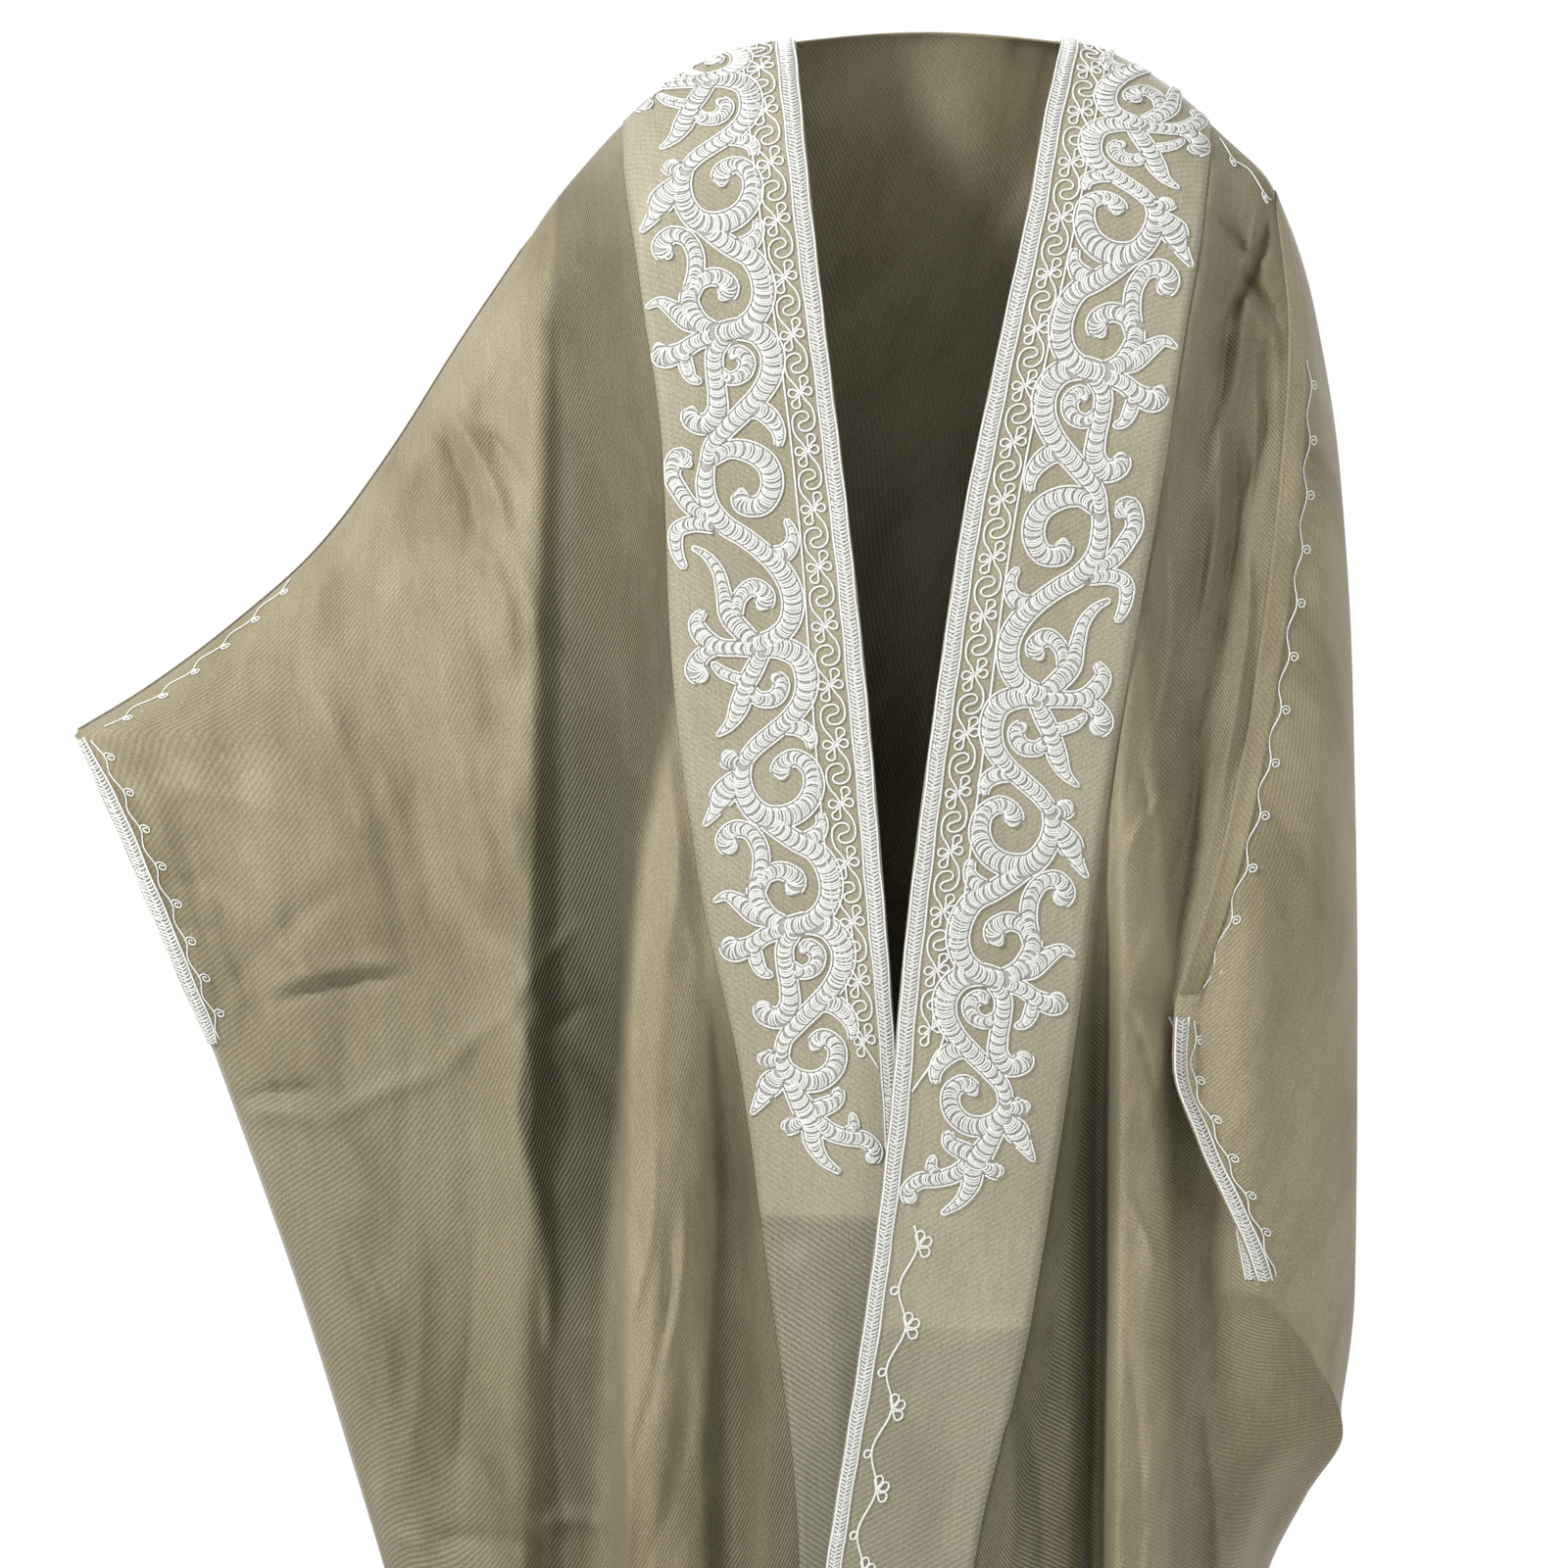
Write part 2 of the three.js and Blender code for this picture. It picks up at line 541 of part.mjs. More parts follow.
for (let j = 0; j <= lastColumn(leftFront); j++)
  seamNormals(vertexOf(leftFront, 0, j), vertexOf(back, 0, neckLast + j));
for (const grid of [rightFront, leftFront, back]) {
  drawSide(grid, true);
  if (grid === back) drawSide(grid, false);
}
drawTop(rightFront, 0, lastColumn(rightFront));
drawTop(leftFront, 0, lastColumn(leftFront));
drawTop(back, 0, neckFirst);
drawTop(back, neckLast, lastColumn(back));
add("front_right", layer(rightFront, [-CLOTH, 0]), CLOTH_FINISH);
add("front_left", layer(leftFront, [-CLOTH, 0]), CLOTH_FINISH);
add("back", layer(back, [-CLOTH, 0]), CLOTH_FINISH);

// The front bands, the braids and the joints of the arm seams.
const BAND = [SEAM, SEAM + BAND_THICK];
const ON_BAND = [BAND[1] + SEAM, BAND[1] + SEAM + BRAID_HIGH];
const ON_CLOTH = [CUFF_CLEAR, CUFF_CLEAR + BRAID_HIGH];
const JOINT = [SEAM, SEAM + SEAM_STRIP_HIGH];
const bandColumns = BAND_STEPS.keys().toArray();
const edgeColumns = (grid) => (row) => {
  const i = Math.min(Math.floor(row), ROWS.length - 2);
  return [BRAID_INSET, BRAID_INSET + EDGE_BRAID_WIDTH].map((distance) =>
    mix(columnAt(grid, i, distance), columnAt(grid, i + 1, distance), row - i));
};
// Columns beside a join, from its edge inwards: count of them, and which end of the grid the join is at.
const joinColumns = (grid, count, fromEnd) => {
  const inset = BRAID_INSET / JOIN_STEPS[JOIN_STEPS.length - 1];
  const columns = [inset, ...Array.from({ length: count }, (_, k) => k + 1)];
  return () => columns.map((c) => (fromEnd ? lastColumn(grid) - c : c)).sort((a, b) => a - b);
};
const braidCount = JOIN_STEPS.length - 1;
for (const [side, grid, cuff, backFromEnd] of [
  ["right", rightFront, RIGHT_CUFF, false],
  ["left", leftFront, LEFT_CUFF, true],
]) {
  const cuffRows = rowsFrom(...cuff, CUFF_INSETS[side]);
  const jointRows = rowsFrom(ROWS[2], cuff[0]);
  const onFront = joinColumns(grid, braidCount, true);
  const onBack = joinColumns(back, braidCount, backFromEnd);
  const jointColumns = joinColumns(back, braidCount + 1, backFromEnd);
  add(`band_${side}`, layer(grid, BAND, bandColumns), BAND_FINISH);
  add(`edge_braid_${side}`, strip(grid, rowsFrom(0, LENGTH), edgeColumns(grid), ON_BAND), THREAD_FINISH);
  add(`cuff_braid_${side}_front`, strip(grid, cuffRows, onFront, ON_CLOTH), THREAD_FINISH);
  add(`cuff_braid_${side}_back`, strip(back, cuffRows, onBack, ON_CLOTH), THREAD_FINISH);
  add(`seam_joint_${side}`, strip(back, jointRows, jointColumns, JOINT), CLOTH_FINISH);
}

// The braid along the back of the neck.
const neckEnd = 0.06;
const neckInner = NECK_STEPS.map((_, k) => neckFirst + 1 + k);
const neckColumns = [neckFirst + neckEnd, ...neckInner, neckLast - neckEnd];
const neckRows = [BRAID_INSET / EDGE_BRAID_WIDTH, 1];
add("neck_braid", strip(back, neckRows, () => neckColumns, ON_CLOTH), THREAD_FINISH);

// The couched scrolls of the front bands, charted for one repeat.
// u runs outwards from the front edge, v down it from the middle of the large spiral. Angles are in degrees.
const CURL = ["u", "v", "radius", "inner", "from", "turn", "width", "tip", "steps"];
const LARGE_CURLS = table(CURL, [
  [58, 0, 28.5, 7, -75, 430, 11.5, 13, 12],
  [92, -21, 7, 2, 130, -250, 10, 13, 5],
]);
const UPPER_CURLS = table(CURL, [
  [68, 76, 13.5, 4, 25, -330, 10.5, 13, 7],
  [95, 43, 12, 4, 180, 290, 10, 12.5, 6],
]);
const LOWER_CURLS = table(CURL, [
  [60, 122, 13, 4, -20, 330, 10.5, 13, 7],
  [89, 151, 12, 4, 180, -290, 10, 12.5, 6],
  [107, 109, 10.5, 3, 110, -270, 10, 13, 6],
]);
// Stems run from (u, v) to (endU, endV), with two handles between and with three widths.
const STEM = ["u", "v", "u1", "v1", "u2", "v2", "endU", "endV", "width", "middle", "tip", "steps"];
const LARGE_STEMS = table(STEM, [
  [84, -6, 92, 8, 98, 20, 114, 33, 9, 14, 3, 3],
  [84, 6, 82, 36, 42, 36, 40, 66, 10.5, 10.5, 10.5, 4],
  [56, 43, 44, 42, 38, 34, 37, 22, 10.5, 11.5, 4, 2],
  [61, -29, 47, -38, 39, -30, 38, -14, 10, 11.5, 4.5, 2],
]);
const UPPER_STEMS = table(STEM, [
  [40, 66, 39, 88, 52, 96, 66, 97, 10.5, 10.5, 10.5, 3],
  [66, 97, 90, 99, 96, 77, 116, 80, 11.5, 11.5, 3.5, 3],
  [68, 96, 86, 88, 80, 66, 82, 42, 11, 10.5, 10, 3],
]);
const LOWER_STEMS = table(STEM, [
  [68, 96, 42, 96, 32, 114, 43, 134, 10.5, 10.5, 10.5, 3],
  [43, 134, 49, 148, 62, 150, 65.5, 172, 10.5, 10.5, 10.5, 2],
  [64, 98, 84, 98, 92, 119, 104, 119, 11.5, 10, 10, 2],
  [90, 110, 96, 122, 92, 132, 83, 137, 9, 10, 4, 2],
  [67, 98, 74, 106, 73, 112, 72, 118, 10.5, 10.5, 10.5, 1],
  [72, 116, 73, 130, 75, 140, 77, 152, 10.5, 10, 10, 2],
]);
const END_STEMS = table(STEM, [
  [84, 6, 82, 30, 66, 34, 60, 52, 10.5, 10.5, 10.5, 4],
  [60, 44, 48, 44, 40, 34, 38, 22, 10, 11.5, 4, 3],
  [60, 48, 74, 52, 78, 66, 70, 84, 10.5, 12.5, 4, 3],
  [60, 48, 56, 66, 46, 78, 34, 80, 10.5, 10, 9, 3],
]);
const END_CURLS = table(CURL, [
  [32, 88, 8, 3, -60, -270, 9.5, 11.5, 7],
]);

const angleOf = (degrees) => THREE.MathUtils.degToRad(degrees);
const rowsOf = (columns) => columns[Object.keys(columns)[0]].map((_, i) =>
  Object.fromEntries(Object.keys(columns).map((name) => [name, columns[name][i]])));

// Centre lines with widths, as lists of [u, v, width].
function curlLine(c) {
  return Array.from({ length: c.steps + 1 }, (_, i) => {
    const t = i / c.steps;
    const angle = angleOf(c.from + c.turn * t);
    const radius = mix(c.radius, c.inner, t);
    return [c.u + radius * Math.cos(angle), c.v + radius * Math.sin(angle), mix(c.width, c.tip, t)];
  });
}
function stemLine(c) {
  const corner = (u, v) => new THREE.Vector2(c[u], c[v]);
  const curve = new THREE.CubicBezierCurve(
    corner("u", "v"), corner("u1", "v1"), corner("u2", "v2"), corner("endU", "endV"),
  );
  return Array.from({ length: c.steps + 1 }, (_, i) => {
    const t = i / c.steps;
    const { x, y } = curve.getPoint(t);
    const width = mix(mix(c.width, c.middle, t), mix(c.middle, c.tip, t), t);
    return [x, y, width];
  });
}

// A flat ribbon round a centre line, one unit high.
function ribbon(line) {
  const edges = line.map(([u, v, width], i) => {
    const [before, after] = [line[Math.max(i - 1, 0)], line[Math.min(i + 1, line.length - 1)]];
    const along = new THREE.Vector2(after[0] - before[0], after[1] - before[1]).normalize();
    const side = new THREE.Vector2(-along.y, along.x).multiplyScalar(width / 2);
    return [new THREE.Vector3(u + side.x, v + side.y, 0), new THREE.Vector3(u - side.x, v - side.y, 0)];
  });
  const raised = edges.map((pair) => pair.map((p) => new THREE.Vector3(p.x, p.y, 1)));
  return between(edges, raised);
}

function solidOf(geometry) {
  const mesh = new wasm.Mesh({
    numProp: 3,
    vertProperties: new Float32Array(geometry.attributes.position.array),
    triVerts: new Uint32Array(geometry.index.array),
  });
  return new wasm.Manifold(mesh);
}

// All the strokes of one band, joined while they are flat.
function flatScrolls() {
  let all = null;
  const lay = (curls, stems, v) => {
    const lines = [...rowsOf(curls).map(curlLine), ...rowsOf(stems).map(stemLine)];
    for (const line of lines) {
      const solid = solidOf(ribbon(line.map(([a, b, width]) => [a, b + v, width])));
      all = all ? all.add(solid) : solid;
    }
  };
  lay(LOWER_CURLS, LOWER_STEMS, SCROLL_FIRST - SCROLL_PITCH);
  for (let k = 0; k < SCROLL_REPEATS; k++) {
    const v = SCROLL_FIRST + k * SCROLL_PITCH;
    if (k === SCROLL_REPEATS - 1) {
      lay(LARGE_CURLS, table(STEM, rowsOf(LARGE_STEMS).filter((_, i) => i === 0 || i === 3)
        .map((row) => STEM.map((name) => row[name]))), v);
      lay(END_CURLS, END_STEMS, v);
    } else {
      lay(LARGE_CURLS, LARGE_STEMS, v);
      lay(UPPER_CURLS, UPPER_STEMS, v);
      lay(LOWER_CURLS, LOWER_STEMS, v);
    }
  }
  return all;
}

// Lays a flat solid on a band: u and v are lengths along the cloth, the third number a share of the height.
function laidOnBand(grid, solid) {
  const { vertProperties, triVerts } = solid.getMesh();
  const lengths = [0];
  for (let i = 1; i < ROWS.length; i++)
    lengths.push(lengths[i - 1] + grid.points[i][0].distanceTo(grid.points[i - 1][0]));
  const widthAt = (i) => grid.points[i].slice(0, BAND_STEPS.length)
    .reduce((sum, p, j, row) => sum + (j ? p.distanceTo(row[j - 1]) : 0), 0);
  const vertices = [];
  for (let k = 0; k < vertProperties.length; k += 3) {
    const [u, v, w] = vertProperties.slice(k, k + 3);
    const along = Math.max(0, v + SCROLL_LEAN * (u - BAND_WIDTH / 2));
    const i = Math.min(lengths.findLastIndex((l) => l <= along), ROWS.length - 2);
    const row = i + (along - lengths[i]) / (lengths[i + 1] - lengths[i]);
    const columnOf = (r) => columnAt(grid, r, (u / BAND_WIDTH) * widthAt(r));
    const column = mix(columnOf(i), columnOf(i + 1), row - i);
    const clear = mix(SCROLL_CLEAR_TOP, SCROLL_CLEAR, smooth(along / SHOULDER_CURVE - 0.6));
    vertices.push(overFacets(grid, column, row, BAND[1] + clear + w * SCROLL_HIGH));
  }
  const faces = [];
  for (let k = 0; k < triVerts.length; k += 3) faces.push([...triVerts.slice(k, k + 3)]);
  return geometryOf(vertices, faces);
}
const scrolls = flatScrolls().simplify(SCROLL_EASE);
add("scroll_right", laidOnBand(rightFront, scrolls), THREAD_FINISH);
add("scroll_left", laidOnBand(leftFront, scrolls), THREAD_FINISH);

export default group;
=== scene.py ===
import math

import bmesh
import bpy
import numpy as np
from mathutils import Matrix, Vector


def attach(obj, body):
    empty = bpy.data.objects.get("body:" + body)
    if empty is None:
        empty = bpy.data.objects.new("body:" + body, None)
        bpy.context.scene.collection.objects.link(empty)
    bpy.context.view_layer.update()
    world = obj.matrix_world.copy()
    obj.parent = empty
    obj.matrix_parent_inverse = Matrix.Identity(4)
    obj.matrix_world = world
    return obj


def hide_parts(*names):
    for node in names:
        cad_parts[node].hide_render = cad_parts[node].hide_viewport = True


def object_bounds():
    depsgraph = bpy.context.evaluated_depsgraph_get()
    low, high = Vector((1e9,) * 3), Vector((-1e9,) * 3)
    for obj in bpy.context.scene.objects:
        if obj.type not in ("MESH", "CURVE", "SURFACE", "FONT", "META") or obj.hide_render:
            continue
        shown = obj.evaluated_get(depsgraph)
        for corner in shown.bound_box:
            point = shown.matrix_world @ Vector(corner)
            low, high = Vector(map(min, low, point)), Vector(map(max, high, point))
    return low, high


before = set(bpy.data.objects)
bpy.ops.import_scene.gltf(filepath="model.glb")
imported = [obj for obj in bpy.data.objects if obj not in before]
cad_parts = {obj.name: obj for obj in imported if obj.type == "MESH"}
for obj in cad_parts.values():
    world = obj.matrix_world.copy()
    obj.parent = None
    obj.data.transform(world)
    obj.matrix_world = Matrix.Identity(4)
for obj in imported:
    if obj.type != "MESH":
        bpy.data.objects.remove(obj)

cad_low, cad_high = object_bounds()

# ---------------------------------------------------------------- right front
# The right front panel: one width of fine twill, seamed to the back over the shoulder and along the arm.
# It hangs from the held-out arm, so it spreads from the neck to the hand slit and falls in soft folds.
# Sizes are in millimetres. s runs from the front edge to the side, and depth down from the shoulder seam.
MM = 0.001
LENGTH = 1440.0
NECK_HALF = 89.0
SHOULDER_CURVE = 110.0
BAND_SHARE = 0.24
CLOTH_THICK = 1.0
RIGHT_CUFF = (463.0, 673.0)


def table(names, rows):
    """The columns of a table by their names."""
    return dict(zip(names, (np.array(column, float) for column in zip(*rows))))


HANG = ["z", "edgeX", "edgeY", "bandX", "bandY", "bodyX", "bodyY", "wingX", "wingY"]
RIGHT_FRONT = table(HANG, [
    (0, -88, -80, -203, -70, -226, -50, -252, -38),
    (-60, -83, -86, -203, -76, -226, -56, -254, -42),
    (-160, -73, -100, -192, -94, -216, -76, -266, -46),
    (-276, -59, -113, -176, -108, -204, -88, -310, -46),
    (-410, -44, -123, -170, -113, -200, -96, -372, -52),
    (-560, -31, -126, -152, -110, -197, -92, -384, -54),
    (-680, -22, -123, -126, -108, -195, -92, -366, -54),
    (-792, -16, -121, -110, -106, -194, -92, -342, -52),
    (-1017, -2, -116, -86, -104, -195, -92, -300, -56),
    (-1440, 14, -112, -92, -104, -198, -98, -262, -70),
])
ROUTE = ["z", "x", "y", "half"]
RIGHT_ARM_SEAM = table(ROUTE, [
    (-130, -265, 0, 36),
    (-200, -312, -4, 36),
    (-276, -360, -9, 34),
    (-340, -408, -13, 32),
    (-392, -466, -17, 30),
    (-435, -524, -21, 27),
    (-463, -570, -24, 24),
])
RIGHT_HAND_EDGE = table(ROUTE, [
    (-463, -570, -24, 24),
    (-540, -535, -24, 26),
    (-620, -502, -22, 24),
    (-673, -478, -20, 18),
])
RIGHT_SIDE = table(ROUTE, [
    (-673, -478, -20, 18),
    (-796, -434, -14, 18),
    (-931, -388, -8, 20),
    (-1040, -352, -4, 24),
    (-1200, -318, 0, 30),
    (-1440, -296, 2, 36),
])
RIGHT_ROUTE = [RIGHT_ARM_SEAM, RIGHT_HAND_EDGE, RIGHT_SIDE]
RIGHT_SHOULDER = dict(x=-265.0, y=0.0, drop=130.0, power=2.0, fade=420.0, droop=90.0, band=-203.0)

# Each fold is a line from its top to its foot, with half widths to either side and a height out of the cloth.
# crisp and soft are the powers of its left and right side: 2 is a round side and 5 a steep one on a flat top.
# lean pushes the crest sideways.
FOLD = ["topX", "topZ", "footX", "footZ", "left", "right", "rise", "root", "crisp", "soft", "lean"]
RIGHT_FRONT_FOLDS = table(FOLD, [
    (-176, -400, -186, -1440, 22, 26, 24, 260, 5, 2.2, -5),
    (-137, -540, -128, -1440, 13, 15, -19, 200, 2, 2.4, 0),
    (-232, -110, -246, -1440, 20, 30, -16, 100, 4, 2, 0),
    (-276, -200, -276, -1440, 16, 20, 8, 200, 2, 2, 0),
    (-322, -262, -300, -640, 14, 18, 7, 90, 2, 2, 0),
    (-400, -370, -326, -1100, 22, 26, 8, 160, 2, 2, 0),
    (-452, -430, -356, -1000, 24, 28, 9, 140, 2, 2, 0),
    (-500, -490, -440, -800, 16, 18, -5, 90, 2, 2, 0),
])

# Creases are shorter and sharper than folds. They may run any way: from one end to the other.
CREASE_STRENGTH = 2.1
CREASE = ["fromX", "fromZ", "toX", "toZ", "width", "rise"]
RIGHT_FRONT_CREASES = table(CREASE, [
    (-318, -250, -276, -336, 4, 3.6),
    (-276, -336, -262, -404, 4, 3.4),
    (-296, -262, -268, -300, 3, -2.6),
    (-438, -634, -348, -616, 4, 3.6),
    (-436, -642, -350, -625, 4, -3.0),
    (-330, -250, -300, -330, 5, -3.0),
    (-300, -330, -276, -420, 6, 3.0),
    (-352, -330, -318, -470, 7, 3.2),
    (-318, -470, -290, -600, 6, 3.2),
    (-290, -600, -270, -642, 5, 3.0),
    (-410, -420, -372, -560, 7, 2.4),
    (-300, -400, -284, -520, 5, -2.6),
    (-459, -708, -403, -700, 3, -4.0),
    (-460, -716, -402, -722, 6, 3.0),
    (-402, -722, -324, -690, 6, 2.8),
    (-324, -690, -276, -648, 5, 2.6),
    (-276, -648, -232, -590, 4, 2.6),
    (-262, -664, -214, -640, 4, -2.4),
    (-310, -560, -262, -664, 5, -2.8),
    (-292, -470, -272, -560, 4, 2.4),
    (-268, -660, -266, -740, 3, 4.2),
    (-266, -740, -254, -880, 4, 3.6),
    (-520, -500, -420, -520, 9, 2.2),
    (-524, -480, -488, -520, 4, -3.4),
    (-486, -520, -468, -600, 4, -4.6),
    (-470, -590, -450, -664, 4, -4.2),
    (-520, -500, -484, -640, 7, 3.4),
    (-498, -486, -478, -560, 6, 2.6),
    (-506, -560, -480, -566, 2.5, -2.0),
    (-500, -590, -474, -598, 2.5, -2.0),
    (-474, -470, -456, -500, 4, -2.2),
    (-500, -560, -395, -640, 8, 2.0),
    (-470, -640, -380, -560, 8, -2.0),
    (-392, -350, -330, -560, 9, -2.6),
    (-372, -470, -340, -600, 5, 2.6),
    (-430, -390, -352, -640, 10, 2.6),
    (-300, -230, -268, -430, 7, -2.2),
    (-300, -700, -330, -1000, 12, -3.4),
    (-398, -800, -372, -900, 4, 3.0),
    (-372, -820, -366, -1000, 8, 3.0),
    (-345, -760, -352, -980, 9, 2.6),
    (-262, -820, -258, -1200, 9, -3.0),
    (-332, -1000, -250, -1002, 5, -3.4),
    (-398, -1000, -332, -1004, 4, 3.0),
    (-262, -988, -214, -986, 5, 4.0),
    (-206, -420, -214, -560, 4, 2.2),
    (-196, -300, -210, -420, 4, -2.0),
    (-186, -300, -166, -352, 4, 2.4),
    (-200, -250, -176, -330, 4, -2.0),
    (-168, -480, -172, -620, 5, 1.8),
    (-160, -760, -178, -900, 3, 2.6),
    (-168, -780, -190, -940, 3, -2.6),
    (-176, -740, -196, -860, 3, 2.2),
    (-158, -860, -180, -1010, 4, -2.4),
    (-196, -900, -206, -1060, 4, 2.6),
    (-280, -900, -300, -1300, 10, 3.2),
    (-220, -1010, -214, -1400, 8, -2.4),
    (-108, -780, -92, -812, 5, -1.8),
    (-90, -800, -60, -852, 6, 1.8),
    (-84, -846, -48, -838, 4, -1.6),
    (-70, -850, -62, -1010, 6, 1.5),
    (-30, -800, -34, -960, 5, -1.4),
])

# Zones where the cloth is darker: painted shade in the recesses and valleys beside the bands, and a second
# layer showing through the sheer cloth. Each zone gives, by height, where it starts and ends across the cloth
# and how dark it is. Its edges fade over a few millimetres.
ZONE = ["z", "left", "right", "shade_and_tone"]
ZONE_EDGES = (7, 14)
RIGHT_FRONT_SHADE_AND_LAYER_ZONES = [
    # Painted shade in the recess beside the band, with the second layer that shows through the sheer cloth.
    table(ZONE, [
        (-20, -246, 0, 0.0),
        (-103, -248, 0, 0.55),
        (-302, -255, -150, 0.75),
        (-400, -259, -158, 0.85),
        (-460, -261, -172, 0.9),
        (-530, -262, -188, 0.95),
        (-655, -266, -201, 0.95),
        (-712, -272, -206, 0.9),
        (-795, -260, -213, 0.75),
        (-860, -252, -217, 0.5),
        (-1017, -252, -225, 0.35),
        (-1440, -256, -230, 0.2),
    ]),
    # Painted shade in the valley between the fold and the band.
    table(ZONE, [
        (-560, -142, -60, 0.0),
        (-655, -146, -60, 0.5),
        (-795, -140, -50, 0.7),
        (-931, -150, -40, 0.7),
        (-1017, -148, -40, 0.7),
        (-1440, -146, -30, 0.5),
    ]),
    # The outer part of the panel, darker towards the hem.
    table(ZONE, [
        (-400, -620, -200, 0.0),
        (-560, -620, -200, 0.16),
        (-720, -620, -200, 0.34),
        (-1440, -620, -200, 0.44),
    ]),
]


def mix(a, b, t):
    return a + (b - a) * t


def smooth(t):
    """From 0 to 1, level at both ends."""
    t = np.clip(t, 0, 1)
    return t * t * (3 - 2 * t)


def rounded(t):
    """From 0 to 1 like a quarter of a circle, steep at first."""
    return np.sqrt(1 - (1 - np.clip(t, 0, 1)) ** 2)


def unit(vectors):
    return vectors / np.maximum(np.linalg.norm(vectors, axis=-1, keepdims=True), 1e-9)


def shade_and_tone_at(zones, x, z):
    """How much the zones darken the cloth at a place, by painted shade and by real tone."""
    total = np.zeros_like(x)
    for zone in zones:
        left, right, shade_and_tone = (np.interp(-z, -zone["z"], zone[name]) for name in ZONE[1:])
        total += shade_and_tone * smooth((x - left) / ZONE_EDGES[0] + 0.5) * smooth((right - x) / ZONE_EDGES[1] + 0.5)
    return total


def through(at, values, t):
    """A smooth line through values, one row for each number of at, which never swings past them."""
    at, t = np.asarray(at, float), np.asarray(t, float)
    if at[0] > at[-1]:
        at, t = -at, -t
    values = np.array([np.broadcast_to(v, t.shape).ravel() for v in values])
    shape, t = t.shape, np.clip(t.ravel(), at[0], at[-1])
    rates = np.diff(values, axis=0) / np.diff(at)[:, None]
    before, after = rates[:-1], rates[1:]
    total = np.where(before * after > 0, before + after, 1)
    inner = np.where(before * after > 0, 2 * before * after / total, 0)
    slopes = np.vstack([rates[:1], inner, rates[-1:]])
    k = np.clip(np.searchsorted(at, t, side="right") - 1, 0, len(at) - 2)
    pick = lambda rows, i: np.take_along_axis(rows, i[None], 0)[0]
    span = at[k + 1] - at[k]
    u = (t - at[k]) / span
    bend = u * (1 - u) * span * ((1 - u) * pick(slopes, k) - u * pick(slopes, k + 1))
    return (mix(pick(values, k), pick(values, k + 1), u * u * (3 - 2 * u)) + bend).reshape(shape)


def read(rows, column, z):
    """A column of a table at a height."""
    return through(rows["z"], rows[column], z)


def route(parts, z):
    """Where a join runs at a height: x, y, and half of the gap between front and back."""
    found = [read(parts[-1], name, z) for name in ROUTE[1:]]
    for part in reversed(parts[:-1]):
        here = z >= part["z"][-1]
        found = [np.where(here, read(part, name, z), old) for name, old in zip(ROUTE[1:], found)]
    return found


def shoulder(side, s):
    """The shoulder seam: s runs from the neck point outwards."""
    sign = np.sign(side["x"])
    x = np.where(
        s < BAND_SHARE,
        mix(sign * NECK_HALF, side["band"], s / BAND_SHARE),
        mix(side["band"], side["x"], (s - BAND_SHARE) / (1 - BAND_SHARE)),
    )
    out = np.clip((np.abs(x) - NECK_HALF) / (abs(side["x"]) - NECK_HALF), 0, 1)
    return x, side["y"] * out**2, -side["drop"] * out ** side["power"]


def folded(folds, x, z):
    """How far the folds stand out at a place, and how far they push it sideways."""
    rise, push = np.zeros_like(x), np.zeros_like(x)
    for top_x, top_z, foot_x, foot_z, left, right, high, root, crisp, soft, lean in zip(*folds.values()):
        along = np.clip((top_z - z) / (top_z - foot_z), 0, 1)
        tail = 1 if foot_z <= -LENGTH else smooth((z - foot_z) / root)
        grown = smooth((top_z - z) / root) * tail
        off = x - mix(top_x, foot_x, along)
        power = np.where(off < 0, crisp, soft)
        shape = grown * np.exp(-np.abs(off / np.where(off < 0, left, right)) ** power)
        rise += high * shape
        push += lean * shape
    return rise, push


def creased(creases, x, z, off_band):
    """Creases. The band is stiffer than the panel, so it takes only the wide ones."""
    rise = np.zeros_like(x)
    for from_x, from_z, to_x, to_z, width, high in zip(*creases.values()):
        run = math.hypot(to_x - from_x, to_z - from_z)
        dx, dz = (to_x - from_x) / run, (to_z - from_z) / run
        along = ((x - from_x) * dx + (z - from_z) * dz) / run
        bow = 0.05 * run * np.sin(np.pi * np.clip(along, 0, 1))
        across = (x - from_x) * dz - (z - from_z) * dx + bow
        fade = smooth((along + 0.12) / 0.4) * smooth((1.12 - along) / 0.4)
        rise += high * fade / (1 + (across / width) ** 2) * (off_band if width < 5 else 1)
    return rise * CREASE_STRENGTH


RUMPLE_ACROSS, RUMPLE_DOWN, RUMPLE_HEIGHT = 70.0, 190.0, 3.0


def rumpled(seed, x, z):
    """The slight unevenness of hanging cloth: waves a few centimetres wide, and longer down the cloth."""
    rng = np.random.default_rng(seed)
    total = np.zeros_like(x)
    for k in range(26):
        size = 1.9 ** (k / 8.5)
        kx = rng.normal() * 2 * math.pi * size / (RUMPLE_ACROSS * 2.2)
        kz = rng.normal() * 2 * math.pi * size / (RUMPLE_DOWN * 2.2)
        total += np.sin(kx * x + kz * z + rng.uniform(0, 2 * math.pi)) / size
    return total / 5


# Folds and creases fade out this near to the side join and to the shoulder seam. Low down, the side droops.
FOLDS_FADE = (30, 300)
CREASES_FADE = (12, 60)
DROOP_FROM = 800


